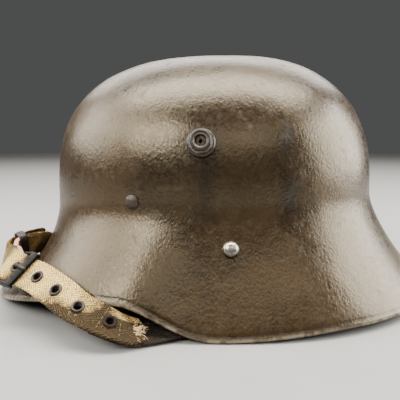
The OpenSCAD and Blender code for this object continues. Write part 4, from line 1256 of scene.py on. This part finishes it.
# row of short thread stitches along a path of points, standing on a surface whose normals are given
def stitchParts(path, normals, length, gap, radius, sides=6):
    points, faces = [], []
    rings, target = 5, gap
    lengths = [np.linalg.norm(path[k + 1] - path[k]) for k in range(len(path) - 1)]
    total = sum(lengths)

    def at(distance):
        k = 0
        while k < len(lengths) - 1 and distance > lengths[k]:
            distance -= lengths[k]
            k += 1
        t = distance / lengths[k]
        return path[k] * (1 - t) + path[k + 1] * t, unit(normals[k] * (1 - t) + normals[k + 1] * t)

    while target + length < total:
        faces += tubeFaces(rings, sides, first=len(points))
        for r in range(rings):
            t = r / (rings - 1)
            p, n = at(target + length * t)
            q = at(min(total, target + length * t + 0.1))[0]
            along = unit(q - p) if np.linalg.norm(q - p) > 1e-6 else unit(path[-1] - path[0])
            aside = np.cross(n, along)
            thick = radius * (0.35 + 0.65 * math.sin(math.pi * min(0.9, max(0.1, t))))
            rise = radius * (1.5 * math.sin(math.pi * t) - 0.5)
            points += [p + n * (rise + thick * y) + aside * thick * x for x, y in circle(sides)]
        target += length + gap
    return points, faces


def stitchPiece(name, rows, material, **options):
    points, faces = [], []
    for path, normals in rows:
        p, f = stitchParts(path, normals, **options)
        faces += [tuple(v + len(points) for v in face) for face in f]
        points += p
    piece = makePiece(name, points, faces, material)
    faceOutward(piece)
    return piece


# stitch rows along a strap and across it, as (path, normals)
def rowOnStrip(run, a, lift):
    side = 1 if lift > 0 else -1
    return [f[0] + f[2] * a + f[3] * lift for f in run], [f[3] * side for f in run]


def rowAcross(f, reach, lift):
    steps = np.linspace(-reach, reach, 12)
    return rowOnStrip([(f[0] + f[2] * a, f[1], f[2], f[3]) for a in steps], 0, lift)


# rows near both edges of a strap, on both faces
def seamRows(run, aside, lift):
    return [rowOnStrip(run, a, z) for a in (-aside, aside) for z in (lift, -lift)]


# the eyelet layer ends in a torn edge, sewn over a second layer that runs on to the bail
layerShape = {
    "tornAt": 98.0, "underFrom": 73.0, "underThickness": 1.3, "rise": 0.95, "sink": -0.65,
    "riseFrom": 60.0, "riseTo": 73.0, "curl": 1.6, "ragged": 3.4, "seams": (75.3, 86.0), "seamReach": 8.6,
    # loose threads of the torn end, two of three in a tuft; lengths and radii from least to most
    "fibres": 130, "seed": 11,
    "tuftLength": (2.0, 5.5), "fibreLength": (1.0, 3.2), "fibreRadius": (0.12, 0.30),
}


# the same frames, seen when going the other way
def turnedRound(frames):
    return [(f[0], unit(-f[1]), unit(f[2]), unit(f[3])) for f in frames]


# frames a millimetre apart, by their distance back from the buckle
def rowBack(run, start, end):
    count = int(abs(end - start)) + 1
    return turnedRound(runBack(run, strapRun["buckleIndex"], d) for d in np.linspace(start, end, count))


def runLength(frames):
    return sum(np.linalg.norm(b[0] - a[0]) for a, b in zip(frames, frames[1:]))


def topLift(back):
    s = layerShape
    curl = s["curl"] * float(ease(s["tornAt"] - 9, s["tornAt"] + 2, back)) ** 2
    return s["rise"] * float(ease(s["riseFrom"], s["riseTo"], back)) + curl


def underLift(back):
    s = layerShape
    return s["sink"] * float(ease(s["tornAt"] + 14, s["tornAt"], back))


# soil and painted shade from 0 to 1, by the distance back from the buckle; side runs from -1 at the lower
# edge to 1
def topSoilAndShade(back, side):
    low = max(0.0, -side)
    # darker toward the lower edge and toward the torn end: partly dirt, partly painted shade
    dirt = 1.0 * float(ease(58, 80, back)) + 1.2 * low ** 0.8 * float(ease(24, 58, back))
    # round the last eyelet, and under the buckle's bar and on the tail, there partly as painted shade
    dirt += 0.8 * hump(back, 84, 9) + 0.6 * hump(back, 2, 6) + 0.5 * float(ease(-6, -30, back))
    dirt += 0.22 * hump(back, 60, 6) + 0.15 * abs(side) ** 6
    # the upper edge of the torn end is kept light
    dirt *= 1 - 0.9 * float(ease(0.15, 0.6, side)) * float(ease(66, 84, back))
    return min(1.0, max(0.0, dirt))


# soil and painted shade of the under layer, by the distance back from the buckle
def underSoilAndShade(back, side):
    dirt = 0.45 + 0.3 * float(ease(96, 112, back)) - 0.3 * float(ease(118, 140, back))
    return min(1.0, dirt + 0.2 * abs(side) ** 4)


# the last eyelet clinches both layers and has rusted
def makeEyelet(k, f, s):
    last = k == 4
    grow = 1.0 + 0.05 * noise.noise(Vector((k * 1.7, 2.0, 0.4)))
    half = s["thickness"] / 2 + 0.4 + (0.68 if last else 0.0)
    hole, flange = s["eyeletHole"], s["eyeletFlange"] * grow
    corners = [
        (hole, -half - 0.5), (flange, -half - 0.3), (flange, -half), (hole + 0.4, -half),
        (hole + 0.4, half), (flange, half), (flange, half + 0.3),
        (hole + 1.3, half + 0.75), (hole + 0.5, half + 0.8), (hole, half + 0.4),
    ]
    place = frameMatrix(f) @ Matrix.Translation((0, 0, 0.27 if last else 0.0))
    paint, waver = (paints["rust"], 0.35) if last else (paints["eyelet"], 0.10)
    return turnedPiece("eyelet" + str(k + 1), corners, place, paint, 0.22, 56, waver, k * 3.0)


def makeLongStrap(s):
    run, index = strapRun["long"], strapRun["buckleIndex"]
    tail = turnedRound(reversed(run[index + 1:]))
    top = tail + rowBack(run, 0.0, layerShape["tornAt"])
    strap = stripPiece(
        "webbingLong", top, s["width"], s["thickness"], paints["webbing"], s["waver"],
        topLift, topSoilAndShade, 22, layerShape["ragged"], -runLength(run[index:]),
    )
    below = rowBack(run, layerShape["underFrom"], runLength(run[:index + 1]) - 0.01)
    under = stripPiece(
        "webbingUnder", below, s["width"] - 0.3, layerShape["underThickness"], paints["under"], 0.0,
        underLift, underSoilAndShade, start=layerShape["underFrom"],
    )
    eyes = [runBack(run, index, k * s["eyeletPitch"]) for k in range(5)]
    cut = s["eyeletHole"] + 0.45
    cutWith(strap, [drillPiece(frameMatrix(f), cut, 3.5) for f in eyes])
    cutWith(under, [drillPiece(frameMatrix(eyes[4]), cut, 3.5)])
    settle(strap, "helmet", "webbing", "strap_long")
    settleBending(under, "bail_left", run, "webbing")
    rings = [makeEyelet(k, f, s) for k, f in enumerate(eyes)]
    settle(rings[0], "helmet", "black_steel", "strap_eyelets")
    for ring in rings[1:]:
        settle(ring, "helmet", "black_steel")
    rows = []
    for back in layerShape["seams"]:
        f = rowBack(run, back, back + 0.5)[0]
        rows.append(rowAcross(f, layerShape["seamReach"], topLift(back) + 0.95))
    stitches = stitchPiece("layerStitches", rows, paints["soiledThread"], length=2.2, gap=1.2, radius=0.24)
    settle(stitches, "helmet", "webbing")


makeLongStrap(strapShape)


# threads that stand out of the torn end
def makeTornThreads(s):
    luck = random.Random(s["seed"])
    row = rowBack(strapRun["long"], 0.0, s["tornAt"])
    end = row[-1]
    points, faces = [], []
    for k in range(s["fibres"]):
        tuft = k % 3 > 0
        a = luck.gauss(-0.5, 2.2) if tuft else luck.uniform(-0.5, 0.5) * strapShape["width"]
        a = max(-10.2, min(10.2, a))
        root = end[0] + end[2] * a + end[3] * (topLift(s["tornAt"]) + luck.uniform(-0.8, 0.7))
        root = root - end[1] * luck.uniform(0, 4)
        heading = unit(end[1] + end[2] * luck.uniform(-0.8, 0.8) + end[3] * luck.uniform(-0.1, 0.8))
        bend = end[2] * luck.uniform(-0.6, 0.6) + end[3] * luck.uniform(-0.45, 0.25)
        length = luck.uniform(*s["tuftLength" if tuft else "fibreLength"])
        radius = luck.uniform(*s["fibreRadius"])
        faces += tubeFaces(6, 5, first=len(points))
        for r in range(6):
            t = r / 5
            p = root + heading * length * t + bend * length * t * t
            p[2] = max(p[2], 0.6)
            along = unit(heading + 2 * bend * t)
            aside = unit(np.cross(along, [0.3, 0.2, 0.93]))
            up = np.cross(aside, along)
            points += [p + radius * (1 - 0.6 * t) * (aside * x + up * y) for x, y in circle(5)]
    fibres = makePiece("tornThreads", points, faces, paints["fibre"])
    faceOutward(fibres)
    settle(fibres, "helmet", "webbing")


makeTornThreads(layerShape)


def makeShortStrap(s):
    inner = strapRun["inner"]
    first = s["chapeStations"] * s["steps"]

    def soil(length, side):
        return min(1.0, 0.25 + 0.5 * hump(length, 0, 14) + 0.2 * abs(side) ** 8)

    run = [betweenFrames(inner[first], inner[first + 1], 0.8)] + inner[first + 2:]
    strap = stripPiece(
        "webbingShort", run, s["width"], s["thickness"], paints["webbing"], 0.25, soil=soil, start=7.0,
    )
    settleBending(strap, "bail_right", inner[::-1], "webbing", "strap_short")
    chape = softenedCopy("buckle_chape", paints["tanLeather"], 0.45, "leatherChape", 40)
    settle(chape, "helmet", "tan_leather", "buckle_chape")
    rows = seamRows(inner[8:first - 2], *s["chapeSeam"])
    stitches = stitchPiece("chapeStitches", rows, paints["thread"], length=2.0, gap=1.1, radius=0.22)
    settle(stitches, "helmet", "tan_leather")
    rows = seamRows(run[2::2], *s["edgeSeam"])
    sewing = {"length": 2.6, "gap": 1.4, "radius": 0.20, "sides": 5}
    stitches = stitchPiece("strapEdgeStitches", rows, paints["thread"], **sewing)
    settleBending(stitches, "bail_right", inner[::-1], "webbing")


makeShortStrap(strapShape)
print("chin strap laid")


# sewn loops of webbing that hang from the wire bails

loopShape = {"wire": 1.4, "room": 0.35, "gap": 0.15, "rows": (1.6, 5.6), "rowShift": 1.2, "rowReach": 8.6}


def makeLoops(s):
    turn = fittings["strapTurn"]
    hang = math.asin(outward(turn, shareAt(turn, fittings["strapHeight"]))[2])
    hinge = Matrix.Translation((strapShape["hingeDown"], 0, strapShape["hingeIn"]))
    hung = strapRun["rivet"] @ hinge @ Matrix.Rotation(hang, 4, "Y")
    thick = strapShape["thickness"]
    radius = s["wire"] + s["room"] + thick / 2
    near = thick / 2 + s["gap"]
    drop, stub = strapShape["bailDrop"], strapShape["stub"]
    # down one side, round the wire and back, as (down, out)
    bend = math.acos(near / radius)
    straight = np.linspace(stub, radius * math.sin(bend) + 0.5, 8)
    path = [(drop + x, near) for x in straight]
    for a in [bend, *np.linspace(bend - 0.12, 0.12 - math.pi - bend, 26)]:
        path.append((drop + radius * math.sin(a), radius * math.cos(a)))
    path += [(drop + x, -near) for x in reversed(straight)]
    spin = hung.to_3x3() * (1 / mm)
    axis = unit(np.array(spin @ Vector((0, 1, 0))))
    middles = [np.array(hung @ Vector((x, 0, z))) / mm for x, z in path]
    run = []
    for i, middle in enumerate(middles):
        ahead = unit(middles[min(i + 1, len(middles) - 1)] - middles[max(i - 1, 0)])
        run.append((middle, ahead, axis, np.cross(axis, ahead)))
    loop = stripPiece("webbingLoopLeft", run, strapShape["width"], thick, paints["webbing"], 0.0, columns=16)
    rows = []
    for x in s["rows"]:
        for side in (1, -1):
            normal = unit(np.array(spin @ Vector((0, 0, side))))
            steps = np.linspace(-s["rowReach"], s["rowReach"], 10)
            line = [Vector((drop + x + s["rowShift"], a, side * (thick + s["gap"]))) for a in steps]
            rows.append(([np.array(hung @ q) / mm for q in line], [normal] * 10))
    seam = stitchPiece("loopStitchesLeft", rows, paints["thread"], length=2.2, gap=1.2, radius=0.24)
    # a copy keeps what its piece was settled as, so both are made first
    otherLoop, otherSeam = flipped(loop, "webbingLoopRight"), flipped(seam, "loopStitchesRight")
    settle(loop, "bail_left", "webbing", "strap_loop_left")
    settle(seam, "bail_left", "webbing")
    settle(otherLoop, "bail_right", "webbing", "strap_loop_right")
    settle(otherSeam, "bail_right", "webbing")


makeLoops(loopShape)


# small metal parts that keep the CAD form with eased edges
# node, name, body, slot, paint, edge in millimetres, least turn of an edge that is eased
dressedFittings = [
    ("strap_bracket_left", "strapBracketLeft", "helmet", "dark_steel", "dark", 0.3, 50),
    ("strap_bail_left", "strapBailLeft", "bail_left", "dark_steel", "dark", 0.1, 60),
    ("strap_bracket_right", "strapBracketRight", "helmet", "dark_steel", "dark", 0.3, 50),
    ("strap_bail_right", "strapBailRight", "bail_right", "dark_steel", "dark", 0.1, 60),
    ("buckle_frame", "buckleFrame", "helmet", "black_steel", "black", 0.35, 35),
    ("buckle_prong", "buckleProng", "prong", "bare_steel", "eyelet", 0.1, 60),
    ("liner_washers", "linerWashers", "helmet", "bare_steel", "steel", 0.15, 35),
    ("liner_band", "linerBand", "helmet", "dark_steel", "dark", 0.2, 50),
    ("pad_rivets", "padRivets", "helmet", "rivet_brass", "brass", 0.15, 35),
]
for node, name, body, slot, paint, edge, turn in dressedFittings:
    settle(softenedCopy(node, paints[paint], edge, name, turn), body, slot, node)


# keeper: a narrow leather ring drawn round both layers of the strap

keeperShape = {
    "quarterStation": 13,  # along the short strap
    "width": 6.0, "wall": 1.4, "room": 1.2, "gap": 3.5, "chape": 2.6,
    "corner": 3.4, "swell": 0.3, "waver": 0.175, "sides": 20,
}


# closed path with rounded corners, in steps of 1.2 to 2.4 mm on the straights
def roundedBox(halfSide, halfOut, corner):
    path = []
    for side, out, start in ((1, 1, 0), (-1, 1, 90), (-1, -1, 180), (1, -1, 270)):
        for k in range(9):
            a = math.radians(start + 90 * k / 8)
            x = side * (halfSide - corner) + corner * math.cos(a)
            path.append(np.array([x, out * (halfOut - corner) + corner * math.sin(a)]))
    full = []
    for a, b in zip(path, path[1:] + path[:1]):
        parts = max(1, int(np.linalg.norm(b - a) / 1.2))
        full += [a + (b - a) * j / parts for j in range(parts)]
    return full


def makeKeeper(s):
    middle, ahead, across, out = strapRun["inner"][int(s["quarterStation"] * strapShape["steps"] / 4)]
    depth = s["gap"] + (strapShape["thickness"] + s["chape"]) / 2 + 2 * s["room"]
    centre = middle + out * (depth / 2 - s["room"] - s["chape"] / 2)
    half = s["width"] / 2
    path = roundedBox((strapShape["width"] + 1 + s["wall"]) / 2, (depth + s["wall"]) / 2, s["corner"])
    wall = s["wall"] / 2
    section = [(half * signedPower(x, 0.55), wall * signedPower(y, 0.8)) for x, y in circle(s["sides"])]
    points, marks = [], []
    count = len(path)
    for k, here in enumerate(path):
        tangent = unit(path[(k + 1) % count] - path[k - 1])
        normal = np.array([tangent[1], -tangent[0]])
        normal = normal if normal @ here > 0 else -normal
        place = here + normal * s["waver"] * noise.noise(Vector((here[0] * 0.2, here[1] * 0.2, 1.0)))
        for along, thick in section:
            q = place + normal * (thick + s["swell"] * 0.5 * (1 - (along / half) ** 2))
            points.append(centre + ahead * along + across * q[0] + out * q[1])
            marks.append(0.7 if abs(along) > 0.8 * half else 0.0)
    faces = tubeFaces(count, s["sides"], closed=True)
    ring = makePiece("leatherKeeper", points, faces, paints["darkLeather"], marks={"wear": marks})
    faceOutward(ring)
    settle(ring, "helmet", "dark_leather", "strap_keeper")


makeKeeper(keeperShape)
print("fittings dressed")


# liner: leather pads on the band, cushions behind them, drawn together by a cord at the crown

linerShape = {
    "bandBottom": 66.0, "bandWidth": 24.0, "bandThickness": 0.8, "bandDepth": 1.6, "padRoom": 0.3,
    "leather": 2.0, "crown": 150.0, "padBottom": 82.5, "round": 1.8,
    "frontPad": (14.0, 110.0), "rearPad": (126.0, 234.0),
    "skirtLean": 12.0, "notchLean": 74.0, "tipLean": 11.0,
    "laceHole": 3.4, "laceRing": 25.0, "laceRise": 4.2, "laceRadius": 1.1, "drillReach": 14, "eased": 0.45,
}
bandTop = linerShape["bandBottom"] + linerShape["bandWidth"]
padBack = linerShape["bandDepth"] + linerShape["bandThickness"] + linerShape["padRoom"]


def levelOut(turn, share):
    return unit(outward(turn, share) * np.array([1, 1, 0]))


def bandPlan(turn, depth):
    share = shareAt(turn, np.full(np.shape(turn), bandTop))
    return (outer(turn, share) - depth * levelOut(turn, share))[..., :2]


# inner face of the liner; lean is 0 at the crown and 90 at the band's top, more on the skirt below
def linerPlace(turn, lean):
    turn, lean = np.broadcast_arrays(np.asarray(turn, float), np.asarray(lean, float))
    s = linerShape
    base = bandPlan(turn, padBack)
    middle = np.array([domeX, 0.0])
    e = 2 / s["round"]
    skirt = lean > 90
    out = np.where(skirt, 1.0, sinD(np.minimum(lean, 90)) ** e)
    up = np.where(skirt, 0.0, np.maximum(cosD(np.minimum(lean, 90)), 0) ** e)
    plan = middle + (base - middle) * out[..., None]
    drop = (bandTop - s["padBottom"]) * np.maximum(0, lean - 90) / s["skirtLean"]
    z = bandTop + (s["crown"] - bandTop) * up - drop
    return np.concatenate([plan, z[..., None]], -1)


def linerOut(turn, lean):
    a = linerPlace(turn, lean + 1) - linerPlace(turn, lean - 1)
    b = linerPlace(turn + 1, lean) - linerPlace(turn - 1, lean)
    return unit(np.cross(a, b))


def lacePlace(turn):
    reach = np.linalg.norm(bandPlan(np.array(turn, float), padBack) - np.array([domeX, 0.0]))
    lean = math.degrees(math.asin((linerShape["laceRing"] / reach) ** (linerShape["round"] / 2)))
    return linerPlace(turn, lean) - linerShape["leather"] / 2 * linerOut(turn, lean)


def tongueTurns(span):
    part = (span[1] - span[0]) / 4
    return [span[0] + part, span[1] - part]


def drillUp(place, radius, reach):
    return drillPiece(Matrix.Translation(Vector(place) * mm) @ Matrix.Scale(mm, 4), radius, reach, 40)


# pieces of the left side, and their mirror copies where the name says left
def settleBoth(pieces, slot):
    both = list(pieces)
    for piece, node in pieces:
        if "Left" in piece.name:
            other = flipped(piece, piece.name.replace("Left", "Right"))
            both.append((other, node and node.replace("left", "right")))
    for piece, node in both:
        settle(piece, "helmet", slot, *([node] if node else []))
    return [piece for piece, node in both]


# how far a tongue reaches at a share of its width
def tongueShape(share):
    return np.maximum(0.0, 1 - np.abs(2 * share - 1) ** 4) ** 0.5


def padStitches(name, span):
    s = linerShape
    lift = s["leather"] + 0.12
    # above the band, then along each tongue
    lines = [(np.linspace(span[0] + 2, span[1] - 2, 60), np.full(60, 84.0))]
    share = np.linspace(0.05, 0.95, 50)
    lean = s["notchLean"] + 5 + (s["tipLean"] - s["notchLean"]) * tongueShape(share) * 0.97
    for tongue in (0, 1):
        lines.append((span[0] + (tongue + share) * (span[1] - span[0]) / 2, lean))
    rows = []
    for turn, lean in lines:
        out = linerOut(turn, lean)
        rows.append((list(linerPlace(turn, lean) - lift * out), list(-out)))
    return stitchPiece(name + "Stitches", rows, paints["thread"], length=2.8, gap=1.5, radius=0.26)


def makePad(name, span, node):
    s = linerShape
    turns, tips = [], []
    per = 34
    for tongue in (0, 1):
        for k in range(tongue, per + 1):
            share = (1 - math.cos(math.pi * k / per)) / 2
            turns.append(span[0] + (tongue + share) * (span[1] - span[0]) / 2)
            tips.append(s["notchLean"] + (s["tipLean"] - s["notchLean"]) * tongueShape(share))
    turns, tips = np.array(turns), np.array(tips)
    shares = np.concatenate([np.linspace(-1, 0, 6)[:-1], np.linspace(0, 1, 30)])  # skirt, then tongues
    front, back, marks = [], [], []
    for share in shares:
        lean = 90 - share * s["skirtLean"] if share < 0 else 90 + (tips - 90) * share
        lean = np.broadcast_to(lean, turns.shape)
        p, n = linerPlace(turns, lean), linerOut(turns, lean)
        wave = np.array([noise.fractal(Vector(q) * 0.045, 1.0, 2.0, 3) for q in p])
        front.append(p - n * np.clip(0.25 + 0.25 * wave, 0, 0.6)[:, None])
        back.append(p - n * (s["leather"] + 0.25 * wave)[:, None])
        marks.append(np.full(len(turns), 0.8 if abs(share) > 0.9 else 0.0))
    faces = doubleFaces(len(shares), len(turns))
    marks = {"wear": np.concatenate(marks + marks)}
    pad = makePiece(name, np.concatenate(front + back), faces, paints["brownLeather"], marks=marks)
    faceOutward(pad)
    cutWith(pad, [drillUp(lacePlace(t), s["laceHole"], s["drillReach"]) for t in tongueTurns(span)])
    roundEdges(pad, s["eased"], 50, 2)
    settleBoth([(pad, node), (padStitches(name, span), None)], "brown_leather")


cushionShape = {
    "low": 104.0, "high": 138.0, "thickness": 7.6, "edge": 0.8, "margin": 8.6, "depth": 3.4,
    "channels": 3, "fill": 0.55, "columns": 90, "rows": 30,
}


def makeCushion(name, span, node):
    s = cushionShape
    across = np.linspace(-1, 1, s["columns"])
    front, back, uvs = [], [], []
    for v in np.linspace(-1, 1, s["rows"]):
        turn = (span[0] + span[1]) / 2 + across * ((span[1] - span[0]) / 2 - s["margin"])
        drawn = 1 - 0.14 * (1 - cosD(180 * across)) / 2 - 0.08 * np.abs(sinD(180 * across)) ** 2
        height = (s["low"] + s["high"]) / 2 + v * drawn * (s["high"] - s["low"]) / 2
        share = shareAt(turn, height)
        wall = outer(turn, share) - s["depth"] * outward(turn, share)
        risen = (height - bandTop) / (linerShape["crown"] - bandTop)
        lean = np.degrees(np.arccos(risen ** (linerShape["round"] / 2)))
        pad = linerPlace(turn, lean) + 0.35 * linerOut(turn, lean)
        gap = np.linalg.norm(wall - pad, axis=-1)
        aim = (wall - pad) / gap[:, None]
        swell = np.maximum(0, (1 - np.abs(across) ** 5) * (1 - abs(v) ** 4)) ** 0.5
        half = s["edge"] / 2 + (np.minimum(s["thickness"], gap) - s["edge"]) / 2 * swell
        # sewn channels, and puckers that run in from the seams
        half *= 1 - 0.34 * np.maximum(0, cosD(180 * s["channels"] * across)) ** 16
        half *= 1 - 0.16 * abs(v) ** 3 * (0.5 + 0.5 * np.cos(across * 46 + 2 * np.sin(across * 9)))
        centre = pad + aim * (np.minimum(gap, s["thickness"] + 0.3) / 2)[:, None]
        front.append(centre + aim * half[:, None])
        back.append(centre - aim * half[:, None])
        uvs.append(np.stack([across * 60, np.full(s["columns"], v * 17)], -1))
    points, faces = np.concatenate(front + back), doubleFaces(s["rows"], s["columns"])
    cushion = makePiece(name, points, faces, paints["cushion"], np.concatenate(uvs + uvs))
    faceOutward(cushion)
    for piece in settleBoth([(cushion, node)], "cushion_cloth"):
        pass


def makeLace(s):
    front = tongueTurns(s["frontPad"])
    turns = front + tongueTurns(s["rearPad"]) + [360 - t for t in reversed(front)]
    half = [0, 0.02, 0.05, 0.08, 0.12, 0.16, 0.2, 0.27, 0.35, 0.42, 0.5]
    shares = half + [0.58, 0.65, 0.73, 0.8, 0.84, 0.88, 0.92, 0.95, 0.98]
    # over one tongue and under the next
    path = []
    for k, start in enumerate(turns):
        end = turns[k + 1] if k < 5 else turns[0] + 360
        for share in shares:
            p = np.array(lacePlace(start + (end - start) * share))
            p[2] += (1 if k % 2 == 0 else -1) * s["laceRise"] * math.sin(math.pi * share) ** 0.4
            path.append(p)
    sides, points, uvs, run = 12, [], [], 0.0
    count = len(path)
    for i in range(count):
        ahead = unit(path[(i + 1) % count] - path[i - 1])
        side = unit(np.cross(ahead, [0, 0, 1]))
        up = np.cross(side, ahead)
        run += np.linalg.norm(path[i] - path[i - 1]) if i else 0.0
        for k, (x, y) in enumerate(circle(sides)):
            points.append(path[i] + s["laceRadius"] * (side * x + up * y))
            uvs.append((run, 3 * braidPitch * k / sides))
    lace = makePiece("crownCord", points, tubeFaces(count, sides, closed=True), paints["lace"], uvs)
    faceOutward(lace)
    settle(lace, "helmet", "lace_cord", "crown_lace")


makePad("padFrontLeft", linerShape["frontPad"], "pad_front_left")
makePad("padRear", linerShape["rearPad"], "pad_rear")
makeCushion("cushionFrontLeft", linerShape["frontPad"], "cushion_front_left")
makeCushion("cushionRear", linerShape["rearPad"], "cushion_rear")
makeLace(linerShape)
print("liner fitted")
